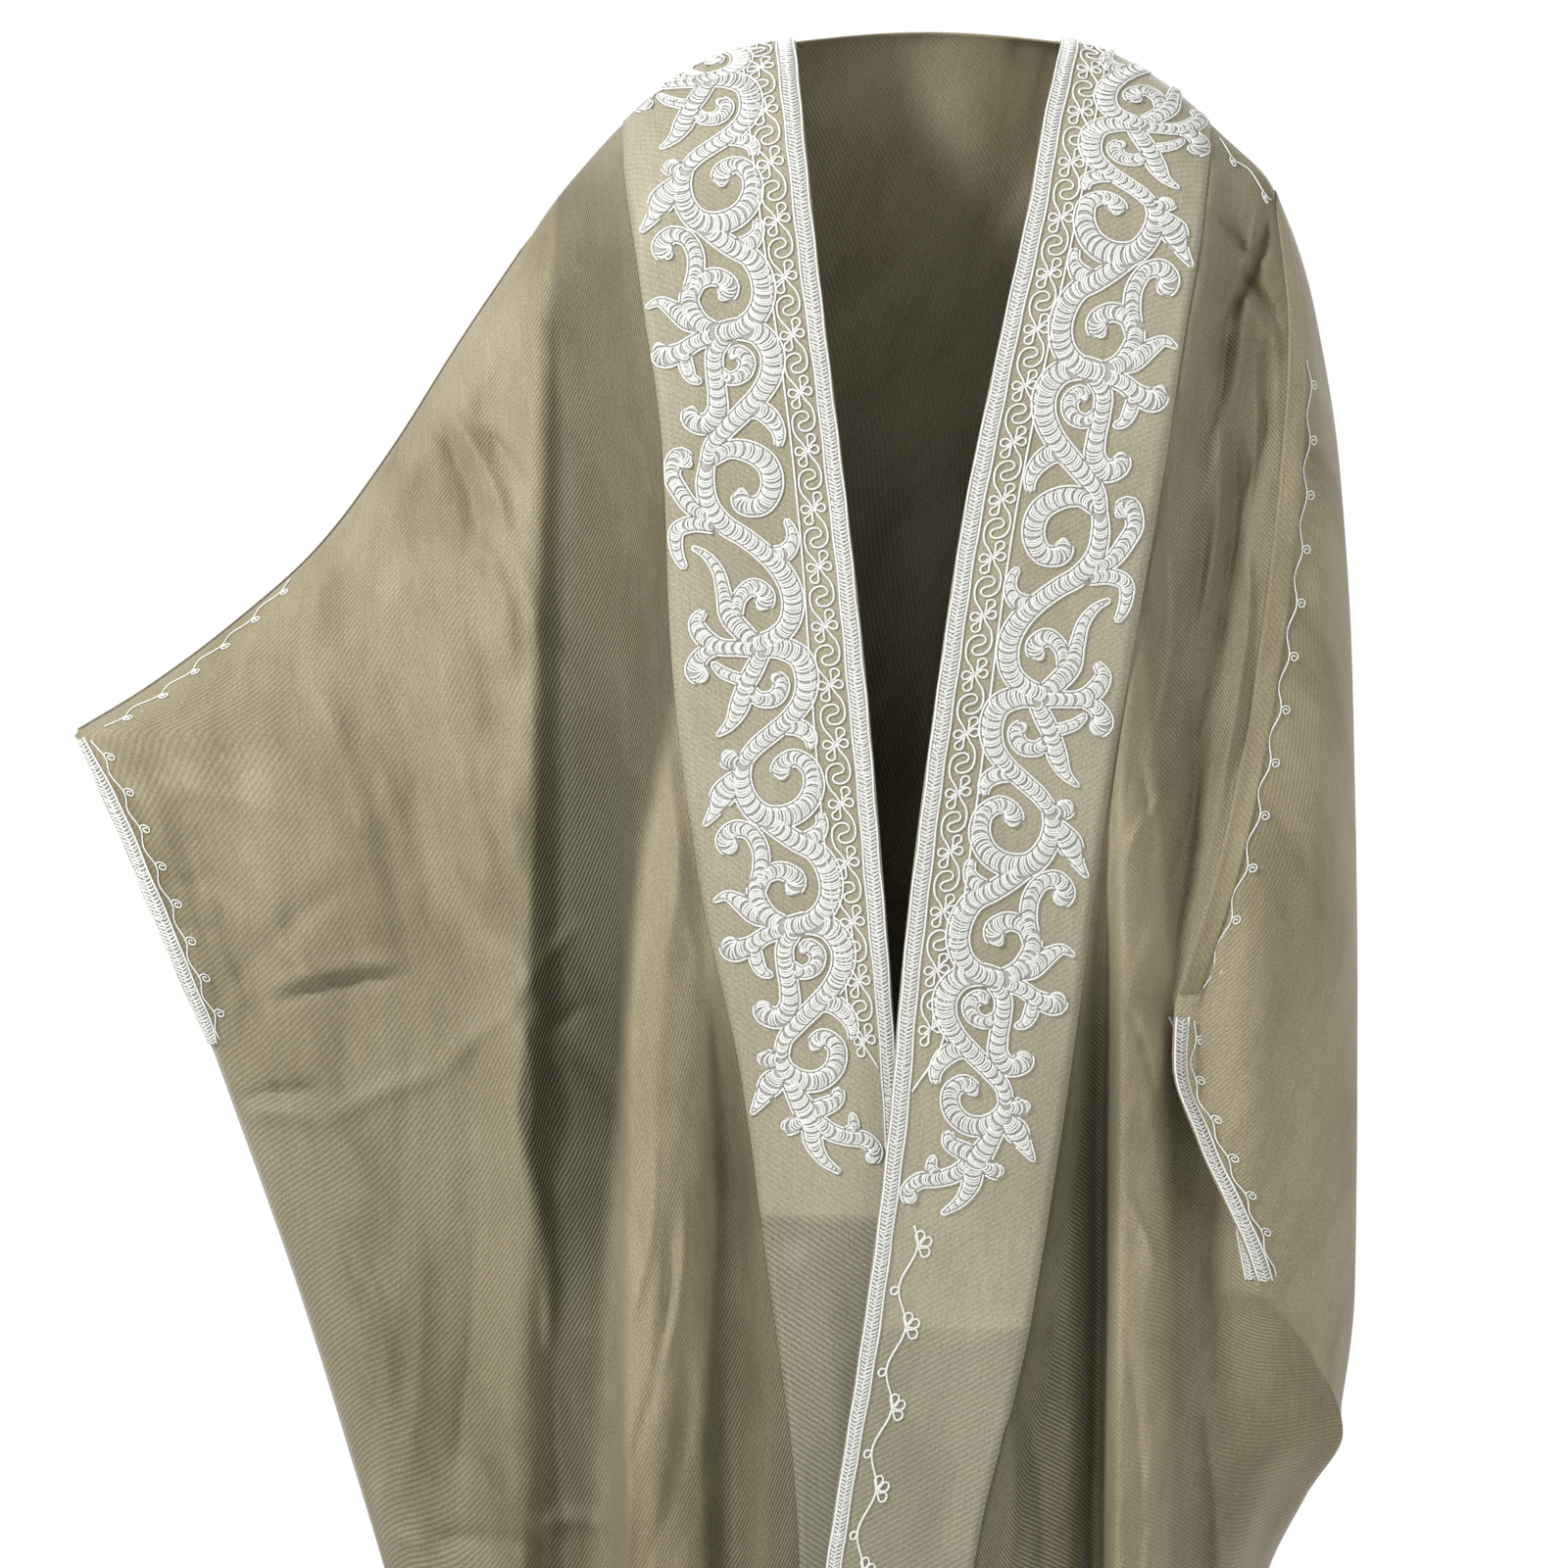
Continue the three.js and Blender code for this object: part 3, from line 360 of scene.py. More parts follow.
def on_panel(panel, s, depth):
    """A point of a panel's outer face, as rows of x, y, z."""
    s, depth = np.broadcast_arrays(np.asarray(s, float), np.asarray(depth, float))
    side, front = panel["side"], panel["front"]
    sign = -1 if front else 1

    def ring(d):
        rest = 1 - smooth(d / side["fade"])
        levels = [-d + shoulder(side, np.full_like(s, share))[2] * rest for share in (0, BAND_SHARE, 1)]
        at, xs, ys = panel["section"](*levels)
        return through(at, xs, s), through(at, ys, s)

    here_x, here_y = ring(depth)
    top_x, top_y = ring(np.zeros_like(depth))
    seam_x, seam_y, seam_z = shoulder(side, s)
    left = 1 - rounded(depth / SHOULDER_CURVE)
    x = here_x + (seam_x - top_x) * left
    y = here_y + (seam_y - top_y) * left
    fade = 1 - smooth(depth / side["fade"])
    level = lambda share: -depth + shoulder(side, np.full_like(s, share))[2] * fade
    join_x, join_y, half = route(panel["route"], level(1))
    beyond = np.clip((s - BAND_SHARE) / (1 - BAND_SHARE), 0, 1)
    width = np.abs(join_x - read(panel["hang"], "bandX", level(BAND_SHARE)))
    top, foot = panel["cuff"]
    opened = np.sqrt(np.sin(np.pi * np.clip((depth - top) / (foot - top), 0, 1)))
    turn = rounded((1 - beyond) * width / np.maximum(half, 1e-3))
    y = np.where(half > 0, join_y + (y - join_y) * (turn + (1 - turn) * opened), y)
    droop = side["droop"] * beyond**2 * smooth((depth - DROOP_FROM) / (LENGTH - DROOP_FROM))
    z = -depth + seam_z * fade - droop
    calm = smooth(np.abs(x - join_x) / FOLDS_FADE[0]) * rounded(depth / FOLDS_FADE[1])
    off_band = smooth((s - BAND_SHARE) / 0.05) if front else 1
    calm = calm * off_band
    rise, push = folded(panel["folds"], x, z)
    rise = rise * calm
    near = smooth(np.abs(x - join_x) / CREASES_FADE[0]) * smooth(depth / CREASES_FADE[1])
    quiet = mix(0.25, 1, smooth((s - BAND_SHARE * 0.9) / 0.08)) if front else 1
    waves = rumpled(panel["seed"], x, z) * RUMPLE_HEIGHT * quiet
    rise = rise + (creased(panel["creases"], x, z, off_band) + waves) * near
    return np.stack([x + push * calm, y + sign * rise, z], -1)


def outward(surface, s, depth, sign):
    """The outward normal of a surface, from points a little to each side."""
    ds, dd = 1e-3, 0.6
    across = surface(s + ds, depth) - surface(s - ds, depth)
    down = surface(s, depth + dd) - surface(s, depth - dd)
    return unit(np.cross(across, down) * sign)


def beyond_band(t):
    return mix(BAND_SHARE, 1, t)


BODY_SHARE, WING_SHARE = 0.35, 0.75


def level_section(hang, parts, sign):
    """How a panel runs across, from its front edge to its side: shares of its width, with x and y."""

    def section(edge, band, outer):
        x, y, half = route(parts, outer)
        body, wing = mix(band, outer, BODY_SHARE), mix(band, outer, WING_SHARE)
        heights = dict(edge=edge, band=band, body=body, wing=wing)
        xs, ys = ([read(hang, name + axis, z) for name, z in heights.items()] for axis in "XY")
        at = [0, BAND_SHARE, beyond_band(BODY_SHARE), beyond_band(WING_SHARE), 1]
        return at, xs + [x], ys + [y + sign * half]

    return section


right_front = dict(
    side=RIGHT_SHOULDER, front=True, hang=RIGHT_FRONT, route=RIGHT_ROUTE, cuff=RIGHT_CUFF, seed=3,
    folds=RIGHT_FRONT_FOLDS, creases=RIGHT_FRONT_CREASES,
    section=level_section(RIGHT_FRONT, RIGHT_ROUTE, -1),
)


def eased(values, reach):
    """A running mean down the rows of a table."""
    wide = np.pad(values, ((reach + 1, reach), (0, 0)), "edge")
    total = np.cumsum(wide, axis=0)
    return (total[2 * reach + 1:] - total[:-2 * reach - 1]) / (2 * reach + 1)


def placed(name, mesh):
    """A finished mesh as a smooth piece of the scene."""
    mesh.polygons.foreach_set("use_smooth", np.ones(len(mesh.polygons), bool))
    mesh.update()
    piece = bpy.data.objects.new(name, mesh)
    bpy.context.collection.objects.link(piece)
    return piece


def cloth_grid(name, surface, shares, depths, turned=False, zones=None):
    """A sheet of cloth: a grid moved onto a surface, with a UV map in metres along the threads."""
    columns, rows = len(shares), len(depths)
    bm = bmesh.new()
    bmesh.ops.create_grid(bm, x_segments=columns - 1, y_segments=rows - 1, size=1)
    mesh = bpy.data.meshes.new(name)
    bm.to_mesh(mesh)
    bm.free()
    flat = np.empty(len(mesh.vertices) * 3)
    mesh.vertices.foreach_get("co", flat)
    i = np.rint((flat[0::3] + 1) / 2 * (columns - 1)).astype(int)
    j = np.rint((flat[1::3] + 1) / 2 * (rows - 1)).astype(int)
    points = surface(np.asarray(shares)[i], np.asarray(depths)[j])
    mesh.vertices.foreach_set("co", (points * MM).ravel())
    lattice = np.empty((rows, columns, 3))
    lattice[j, i] = points * MM
    wide = np.cumsum(np.linalg.norm(np.diff(lattice, axis=1, prepend=lattice[:, :1]), axis=-1), axis=1)
    tall = np.cumsum(np.linalg.norm(np.diff(lattice, axis=0, prepend=lattice[:1]), axis=-1), axis=0)
    # The threads run on evenly under small creases.
    wide, tall = eased(wide, 20), eased(tall.T, 12).T
    corner = np.empty(len(mesh.loops), int)
    mesh.loops.foreach_get("vertex_index", corner)
    uv = np.stack([wide[j, i], -tall[j, i]], -1)[corner]
    mesh.uv_layers.new(name="threads").data.foreach_set("uv", uv.ravel())
    if zones:
        shade_and_tone = shade_and_tone_at(zones, points[:, 0], points[:, 2])
        mesh.attributes.new("shade_and_tone", "FLOAT", "POINT").data.foreach_set("value", shade_and_tone)
    if turned:
        mesh.flip_normals()
    return placed(name, mesh)


def thicken(piece, thick):
    """Gives a sheet its thickness, inwards from its outer face."""
    wall = piece.modifiers.new("thickness", "SOLIDIFY")
    wall.thickness = thick * MM
    wall.offset = -1
    wall.use_even_offset = False


def finish_piece(piece, material, slot, *nodes):
    """Says what a piece is made of, and which CAD nodes it stands for."""
    piece.data.materials.append(material)
    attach(piece, "root")
    if nodes:
        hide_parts(*nodes)


def linear(code):
    """An sRGB hex colour as linear numbers."""
    values = [int(code[i:i + 2], 16) / 255 for i in (1, 3, 5)]
    return [v / 12.92 if v <= 0.04045 else ((v + 0.055) / 1.055) ** 2.4 for v in values] + [1.0]


def node(tree, kind, settings=None, **links):
    """Adds a node with its settings. Each socket is set to a value or linked to another node's output."""
    made = tree.nodes.new(kind)
    for name, value in (settings or {}).items():
        setattr(made, name, value)
    for name, value in links.items():
        number = int(name[1:]) if name[0] == "_" and name[1:].isdigit() else None
        socket = made.inputs[number if number is not None else name.replace("_", " ")]
        if isinstance(value, bpy.types.NodeSocket):
            tree.links.new(value, socket)
        else:
            socket.default_value = value
    return made


def ramp(tree, factor, stops):
    """A colour ramp from places and hex colours. A third stop may lie between the first two."""
    made = node(tree, "ShaderNodeValToRGB", Fac=factor)
    for number, (place, colour) in enumerate(stops):
        stop = made.color_ramp.elements[number] if number < 2 else made.color_ramp.elements.new(place)
        stop.position, stop.color = place, linear(colour)
    return made.outputs["Color"]


# Worsted summer twill: fine diagonal ribs, a faint sheen, and slubs where a yarn thickens. The dye lies in
# uneven patches of about 90 mm, and the cloth is crinkled every 60 mm or so. The real ribs are under 1 mm
# apart, and are drawn about 3 mm apart so that they show. Sizes here are in metres.
OLIVE = ("#928970", "#867D63", "#746A50")
SLUB_WIDTH = 0.0016
PATCHES_PER_METRE, CRINKLES_PER_METRE, GRAINS_PER_METRE = 11.0, 16.0, 620.0
WAVE_SCALE = 0.314


def twill(name, colours, rough, rib, angle, rib_depth, crinkle):
    """A twill: its pale, middle and dark colours, and how far apart, which way and how high its ribs are."""
    pale, middle, dark = colours
    material = bpy.data.materials.new(name)
    material.use_nodes = True
    tree = material.node_tree
    shader = tree.nodes["Principled BSDF"]
    multiply = dict(data_type="RGBA", blend_type="MULTIPLY")
    uv = node(tree, "ShaderNodeUVMap", dict(uv_map="threads")).outputs["UV"]
    turned = node(tree, "ShaderNodeMapping", Vector=uv, Rotation=(0, 0, math.radians(angle))).outputs[0]
    bands = dict(wave_type="BANDS", bands_direction="X", wave_profile="SIN")
    ribs = node(tree, "ShaderNodeTexWave", bands, Vector=turned, Scale=WAVE_SCALE / rib, Distortion=1.2,
                Detail=1.0, Detail_Scale=2.0).outputs["Fac"]
    stretched = node(tree, "ShaderNodeMapping", Vector=uv, Scale=(1, 0.05, 1)).outputs[0]
    slubs = node(tree, "ShaderNodeTexNoise", Vector=stretched, Scale=1 / SLUB_WIDTH, Detail=2.0,
                 Roughness=0.6).outputs["Fac"]
    long = node(tree, "ShaderNodeMapping", Vector=uv, Scale=(1, 0.45, 1)).outputs[0]
    cloud = node(tree, "ShaderNodeTexNoise", Vector=long, Scale=PATCHES_PER_METRE, Detail=5.0,
                 Roughness=0.62).outputs["Fac"]
    grain = node(tree, "ShaderNodeTexNoise", Vector=uv, Scale=GRAINS_PER_METRE, Detail=3.0,
                 Roughness=0.65).outputs["Fac"]
    # The attribute read here holds painted shade in the fronts' recesses and valleys, a second layer showing
    # through the sheer cloth, a darker outer right front towards the hem and the deeper tone of the bands'
    # lower lengths. It strengthens the rib lines and darkens the colour.
    behind = node(tree, "ShaderNodeAttribute", dict(attribute_name="shade_and_tone")).outputs["Fac"]
    wash = ramp(tree, cloud, [(0.32, dark), (0.7, pale), (0.5, middle)])
    fleck = node(tree, "ShaderNodeMix", multiply, _0=0.25, _6=wash,
                 _7=ramp(tree, slubs, [(0.35, "#B4B4B4"), (0.7, "#FFFFFF")]))
    contrast = node(tree, "ShaderNodeMath", dict(operation="MULTIPLY_ADD"), _0=behind, _1=0.75, _2=0.12)
    ribbed = node(tree, "ShaderNodeMix", multiply, _0=contrast.outputs[0], _6=fleck.outputs[2],
                  _7=ramp(tree, ribs, [(0.15, "#5E5A50"), (0.7, "#FFFFFF")]))
    speckled = node(tree, "ShaderNodeMix", multiply, _0=0.42, _6=ribbed.outputs[2],
                    _7=ramp(tree, grain, [(0.36, "#808080"), (0.62, "#FFFFFF")]))
    # Multiplies the painted shade and the deeper tone into the colour.
    shaded_and_toned = node(tree, "ShaderNodeMix", multiply, _0=behind, _6=speckled.outputs[2], _7=linear("#B9BBB1"))
    shaded_and_toned.clamp_factor = False
    tree.links.new(shaded_and_toned.outputs[2], shader.inputs["Base Color"])
    relief = node(tree, "ShaderNodeMath", dict(operation="ADD"), _0=ribs, _1=slubs).outputs[0]
    woven = node(tree, "ShaderNodeBump", Strength=0.6, Distance=rib_depth, Height=relief).outputs[0]
    crinkled = node(tree, "ShaderNodeTexNoise", dict(noise_type="RIDGED_MULTIFRACTAL", normalize=True),
                    Vector=long, Scale=CRINKLES_PER_METRE, Detail=5.0, Roughness=0.5, Distortion=0.6)
    bump = node(tree, "ShaderNodeBump", Strength=1.0, Distance=crinkle, Height=crinkled.outputs["Fac"],
                Normal=woven)
    tree.links.new(bump.outputs[0], shader.inputs["Normal"])
    shader.inputs["Roughness"].default_value = rough
    shader.inputs["Sheen Weight"].default_value = 0.1
    shader.inputs["Sheen Roughness"].default_value = 0.4
    shader.inputs["Specular IOR Level"].default_value = 0.3
    return material


olive_twill = twill("worsted_twill", OLIVE, rough=0.6, rib=0.0028, angle=-38, rib_depth=0.0004, crinkle=0.006)

# The mesh is closest outside the band, where the creases are, and over the curve of the shoulder.
front_shares = np.concatenate([np.linspace(0, BAND_SHARE, 10)[:-1], np.linspace(BAND_SHARE, 1, 114)])
panel_depths = np.concatenate([np.linspace(0, 1, 14)[:-1] ** 2 * 60, np.linspace(60, LENGTH, 328)])


def right_front_face(s, depth):
    return on_panel(right_front, s, depth)


front_right = cloth_grid("front_right_cloth", right_front_face, front_shares, panel_depths,
                         zones=RIGHT_FRONT_SHADE_AND_LAYER_ZONES)
thicken(front_right, CLOTH_THICK)
finish_piece(front_right, olive_twill, "cloth", "front_right")

# ----------------------------------------------------------------- left front
# The left front panel, of the same twill. The left arm hangs, so it is drawn in: it lies back in a recess
# beside the band, stands out in one flat fold below the elbow, and ends at the seam in front of the arm.
LEFT_CUFF = (640.0, 832.0)
LEFT_FRONT = table(HANG, [
    (0, 90, -80, 187, -72, 201, -62, 220, -50),
    (-60, 75, -86, 186, -78, 201, -68, 222, -54),
    (-110, 66, -94, 182, -84, 198, -72, 222, -58),
    (-216, 43, -112, 165, -106, 184, -88, 214, -66),
    (-322, 21, -125, 148, -117, 162, -104, 202, -76),
    (-441, 3, -134, 127, -122, 144, -108, 186, -86),
    (-580, -15, -140, 106, -124, 128, -114, 162, -98),
    (-640, -21, -141, 98, -125, 125, -114, 150, -104),
    (-723, -28, -143, 86, -125, 121, -110, 160, -94),
    (-862, -46, -144, 63, -126, 117, -104, 182, -84),
    (-1017, -70, -146, 27, -130, 114, -100, 182, -66),
    (-1440, -112, -150, -8, -134, 108, -104, 176, -72),
])
LEFT_ARM_SEAM = table(ROUTE, [
    (-101, 229, -38, 0),
    (-196, 238, -60, 0),
    (-289, 232, -72, 0),
    (-425, 215, -86, 0),
    (-543, 191, -102, 0),
    (-640, 161, -118, 0),
])
LEFT_HAND_BACK = table(ROUTE, [
    (-640, 161, -118, 0),
    (-679, 159, -124, 0),
    (-731, 175, -126, 0),
    (-798, 205, -121, 0),
    (-832, 218, -114, 0),
])
LEFT_HAND_FRONT = table(ROUTE, [
    (-640, 161, -118, 0),
    (-690, 188, -94, 0),
    (-760, 210, -86, 0),
    (-832, 218, -114, 0),
])
LEFT_SIDE = table(ROUTE, [
    (-832, 218, -114, 0),
    (-871, 251, -76, 0),
    (-926, 277, -20, 0),
    (-965, 254, 2, 4),
    (-1017, 227, 8, 10),
    (-1100, 212, 10, 16),
    (-1250, 210, 8, 24),
    (-1440, 226, 6, 30),
])
LEFT_FRONT_ROUTE = [LEFT_ARM_SEAM, LEFT_HAND_FRONT, LEFT_SIDE]
LEFT_SHOULDER = dict(x=229.0, y=-38.0, drop=101.0, power=1.7, fade=380.0, droop=50.0, band=187.0)
LEFT_FRONT_FOLDS = table(FOLD, [
    (141, -400, 134, -1440, 19, 19, 27, 200, 5, 4, -3),
    (112, -500, 104, -1440, 9, 11, -22, 240, 2, 3, 0),
    (182, -560, 168, -1440, 14, 18, -10, 240, 2, 2, 0),
    (216, -880, 196, -1440, 18, 18, 12, 160, 2, 2, 0),
])
LEFT_FRONT_CREASES = table(CREASE, [
    (228, -112, 196, -192, 3, -5.0),
    (220, -112, 188, -196, 4, 3.0),
    (186, -120, 214, -148, 3, -4.4),
    (206, -158, 236, -198, 3, -4.4),
    (200, -166, 230, -212, 4, 2.6),
    (196, -190, 186, -260, 4, -3.0),
    (190, -240, 176, -400, 4, 3.0),
    (176, -240, 168, -420, 5, -2.6),
    (216, -230, 206, -330, 3, 2.8),
    (200, -250, 184, -430, 5, -3.2),
    (226, -250, 218, -400, 4, -3.0),
    (156, -330, 150, -460, 4, 2.6),
    (172, -430, 160, -600, 5, -2.8),
    (210, -330, 190, -500, 4, 2.8),
    (196, -380, 172, -470, 3, -2.4),
    (136, -480, 146, -560, 3, -2.4),
    (130, -545, 160, -500, 4, 2.4),
    (128, -640, 150, -700, 3, -1.8),
    (126, -760, 152, -820, 3, 1.8),
    (146, -700, 142, -980, 3, 1.8),
    (132, -860, 128, -1100, 4, -1.6),
    (176, -880, 184, -1120, 6, 3.0),
    (196, -700, 214, -790, 4, 2.6),
    (240, -830, 262, -900, 4, 2.4),
    (214, -136, 150, -300, 7, -3.0),
    (212, -140, 172, -330, 6, 3.0),
    (226, -170, 196, -360, 6, -3.2),
    (222, -150, 224, -330, 6, 3.0),
    (206, -400, 150, -640, 7, 2.8),
    (190, -430, 140, -600, 6, -2.8),
    (70, -838, 0, -856, 3, -1.8),
    (66, -850, 4, -866, 5, 1.4),
    (44, -880, 52, -1010, 5, 1.8),
    (8, -890, 2, -1010, 6, -1.6),
    (60, -900, 70, -1080, 5, -1.8),
    (30, -1060, 20, -1300, 6, 1.8),
])
left_front = dict(
    side=LEFT_SHOULDER, front=True, hang=LEFT_FRONT, route=LEFT_FRONT_ROUTE, cuff=LEFT_CUFF, seed=11,
    folds=LEFT_FRONT_FOLDS, creases=LEFT_FRONT_CREASES,
    section=level_section(LEFT_FRONT, LEFT_FRONT_ROUTE, -1),
)
LEFT_FRONT_SHADE_ZONES = [
    # Painted shade over the recessed panel between the band and the arm.
    table(ZONE, [
        (-40, 0, 400, 0.0),
        (-100, 0, 400, 0.35),
        (-300, 120, 400, 0.35),
        (-380, 138, 400, 0.35),
        (-520, 150, 400, 0.3),
        (-620, 159, 400, 0.25),
        (-740, 159, 400, 0.2),
        (-1440, 158, 400, 0.15),
    ]),
    # Painted shade in the gap between the band and the flat fold.
    table(ZONE, [
        (-600, 0, 124, 0.0),
        (-660, 0, 124, 0.7),
        (-757, 0, 122, 0.9),
        (-900, 0, 113, 0.9),
        (-1017, 0, 108, 0.8),
        (-1440, 0, 104, 0.6),
    ]),
]


def left_front_face(s, depth):
    return on_panel(left_front, s, depth)


# On this panel the ribs run nearly level, and they show more because the light skims over it.
level_twill = twill("worsted_twill_level", OLIVE, rough=0.6, rib=0.0029, angle=-76, rib_depth=0.0006,
                    crinkle=0.006)
front_left = cloth_grid("front_left_cloth", left_front_face, front_shares, panel_depths, turned=True,
                        zones=LEFT_FRONT_SHADE_ZONES)
thicken(front_left, CLOTH_THICK)
finish_piece(front_left, level_twill, "cloth", "front_left")

# ----------------------------------------------------------------------- back
# The back: one panel from hand to hand, seamed to both fronts. On the left it comes round the outside of the
# lowered arm and ends in front of it. It falls from the shoulder blades in long uneven pleats.
BACK_NECK_DEPTH, BACK_NECK_RISE = 66.0, 12.0
RIGHT_BACK = table(HANG, [
    (0, -89, 82, -203, 66, -226, 46, -252, 34),
    (-160, -88, 108, -200, 92, -222, 74, -268, 42),
    (-410, -86, 116, -190, 104, -240, 80, -390, 34),
    (-673, -84, 114, -180, 100, -250, 74, -390, 30),
    (-1017, -86, 120, -176, 104, -224, 84, -296, 44),
    (-1440, -92, 132, -182, 116, -214, 96, -262, 64),
])
LEFT_BACK = table(["z", "edgeX", "edgeY", "bandX", "bandY", "heelX", "heelY", "armX", "armY", "frontY"], [
    (0, 90, 82, 187, 66, 214, 34, 232, 0, -22),
    (-101, 90, 100, 188, 84, 226, 42, 242, 4, -26),
    (-289, 89, 112, 186, 98, 254, 54, 276, 0, -48),
    (-425, 88, 115, 184, 102, 262, 56, 284, -8, -62),
    (-640, 86, 114, 180, 102, 264, 54, 287, -16, -80),
    (-832, 86, 116, 178, 102, 262, 54, 285, -20, -78),
    (-926, 86, 118, 176, 104, 256, 58, 275, 16, -2),
    (-1017, 86, 120, 170, 104, 214, 66, 226, 36, 18),
    (-1440, 88, 132, 166, 112, 208, 72, 226, 40, 18),
])
LEFT_BACK_ROUTE = [LEFT_ARM_SEAM, LEFT_HAND_BACK, LEFT_SIDE]
BACK_FOLDS = table(FOLD, [
    (-470, -440, -380, -1000, 30, 30, 10, 160, 2, 2, 0),
    (-360, -330, -300, -1440, 26, 26, -15, 260, 2, 2, 0),
    (-300, -260, -246, -1440, 26, 28, 22, 300, 2, 2, 0),
    (-230, -170, -196, -1440, 24, 26, -18, 280, 2, 2, 0),
    (-176, -190, -146, -1440, 26, 28, 26, 330, 2, 2, 0),
    (-112, -260, -94, -1440, 22, 24, -20, 300, 2, 2, 0),
    (-56, -170, -46, -1440, 26, 26, 22, 360, 2, 2, 0),
    (4, -220, 2, -1440, 22, 24, -20, 320, 2, 2, 0),
    (58, -180, 50, -1440, 26, 28, 24, 340, 2, 2, 0),
    (112, -240, 100, -1440, 22, 22, -18, 280, 2, 2, 0),
    (164, -200, 148, -1440, 24, 26, 24, 320, 2, 2, 0),
    (214, -420, 190, -1440, 22, 18, -14, 260, 2, 2, 0),
])
BACK_CREASES = table(CREASE, [
    (-420, -400, -330, -620, 10, 2.6),
    (-360, -330, -280, -600, 9, -2.6),
    (-470, -520, -360, -560, 9, 2.2),
    (-440, -640, -340, -600, 8, -2.2),
    (-300, -240, -240, -420, 8, 2.4),
    (-200, -160, -170, -360, 8, -2.2),
    (-120, -120, -100, -330, 9, 2.2),
    (-30, -110, -20, -330, 9, -2.0),
    (60, -120, 76, -300, 9, 2.2),
    (150, -140, 140, -330, 8, -2.2),
    (-260, -620, -246, -980, 9, 2.6),
    (-80, -620, -70, -1000, 9, -2.6),
    (84, -560, 80, -930, 8, 2.4),
    (-20, -900, -14, -1300, 8, 2.4),
    (-160, -1000, -150, -1380, 8, -2.4),
])


def left_back_section(edge, band, outer):
    """How the back runs across on the left: over the heel of the arm, round it and to its front."""
    x, y, _ = route(LEFT_BACK_ROUTE, outer)
    heights = dict(edge=edge, band=band, heel=outer, arm=outer)
    xs, ys = ([read(LEFT_BACK, name + axis, z) for name, z in heights.items()] for axis in "XY")
    at = [0, BAND_SHARE, beyond_band(0.4), beyond_band(0.66), beyond_band(0.86), 1]
    return at, xs + [mix(xs[-1], x, 0.3), x], ys + [read(LEFT_BACK, "frontY", outer), y]


right_back = dict(
    side=RIGHT_SHOULDER, front=False, hang=RIGHT_BACK, route=RIGHT_ROUTE, cuff=RIGHT_CUFF, seed=23,
    folds=BACK_FOLDS, creases=BACK_CREASES, section=level_section(RIGHT_BACK, RIGHT_ROUTE, 1),
)
left_back = dict(
    side=LEFT_SHOULDER, front=False, hang=LEFT_BACK, route=LEFT_BACK_ROUTE, cuff=LEFT_CUFF, seed=23,
    folds=BACK_FOLDS, creases=BACK_CREASES, section=left_back_section,
)


def back_face(s, depth):
    """s runs from -1 at the right side over -0.1 and 0.1, the neck points, to 1 at the left side."""
    s, depth = np.broadcast_arrays(np.asarray(s, float), np.asarray(depth, float))
    neck = 0.1
    right = on_panel(right_back, np.clip((-s - neck) / (1 - neck), 0, None), depth)
    left = on_panel(left_back, np.clip((s - neck) / (1 - neck), 0, None), depth)
    t = np.clip((s + neck) / (2 * neck), 0, 1)
    between = mix(right, left, t[..., None])
    arch = np.sin(np.pi * t) * (1 - rounded(depth / SHOULDER_CURVE))
    between[..., 1] += BACK_NECK_DEPTH * arch
    between[..., 2] += BACK_NECK_RISE * arch
    folds = lambda p: folded(BACK_FOLDS, p[..., 0], p[..., 2])[0] * rounded(depth / FOLDS_FADE[1])
    between[..., 1] += folds(between) - mix(folds(right), folds(left), t)
    inside = np.abs(s) < neck
    return np.where(inside[..., None], between, np.where((s < 0)[..., None], right, left))


back_shares = np.concatenate([np.linspace(-1, -0.1, 68)[:-1], np.linspace(-0.1, 0.1, 19)[:-1],
                              np.linspace(0.1, 1, 58)])
back_depths = np.concatenate([np.linspace(0, 1, 12)[:-1] ** 2 * 60, np.linspace(60, LENGTH, 160)])
back = cloth_grid("back_cloth", back_face, back_shares, back_depths)
thicken(back, CLOTH_THICK)
finish_piece(back, olive_twill, "cloth", "back")

# ---------------------------------------------------------------- front bands
# Two bands of a paler, closer twill, cut straight and sewn flat on the fronts from the shoulder to the hem.
# They stiffen the front edges and carry the embroidery.
SEAM, BAND_THICK, BAND_CHART = 0.3, 1.0, 120.0
BAND_TOP = SEAM + BAND_THICK
PATCH_COLUMNS = 13


def run_along(points):
    """How far along a line of points each of them lies."""
    return np.concatenate([[0], np.cumsum(np.linalg.norm(np.diff(points, axis=0), axis=1))])


def patch(surface, sign, along, across, width=None):
    """Cloth beside an edge, for laying trim on: rows along the edge, with even steps away from it."""
    b, a = np.meshgrid(across, along)
    both = np.concatenate([surface(b, a), outward(surface, b, a, sign)], -1)
    steps = np.linalg.norm(np.diff(both[..., :3], axis=1), axis=-1)
    run = np.concatenate([np.zeros((len(along), 1)), np.cumsum(steps, axis=1)], axis=1)
    rows = []
    for row, length in zip(both, run):
        at = np.linspace(0, length[-1] if width is None else width, PATCH_COLUMNS)
        rows.append(np.stack([np.interp(at, length, row[:, k]) for k in range(6)], -1))
    rows = np.array(rows)
    return dict(rows=rows, rail=run_along(rows[:, 0, :3]), span=BAND_CHART if width is None else width)


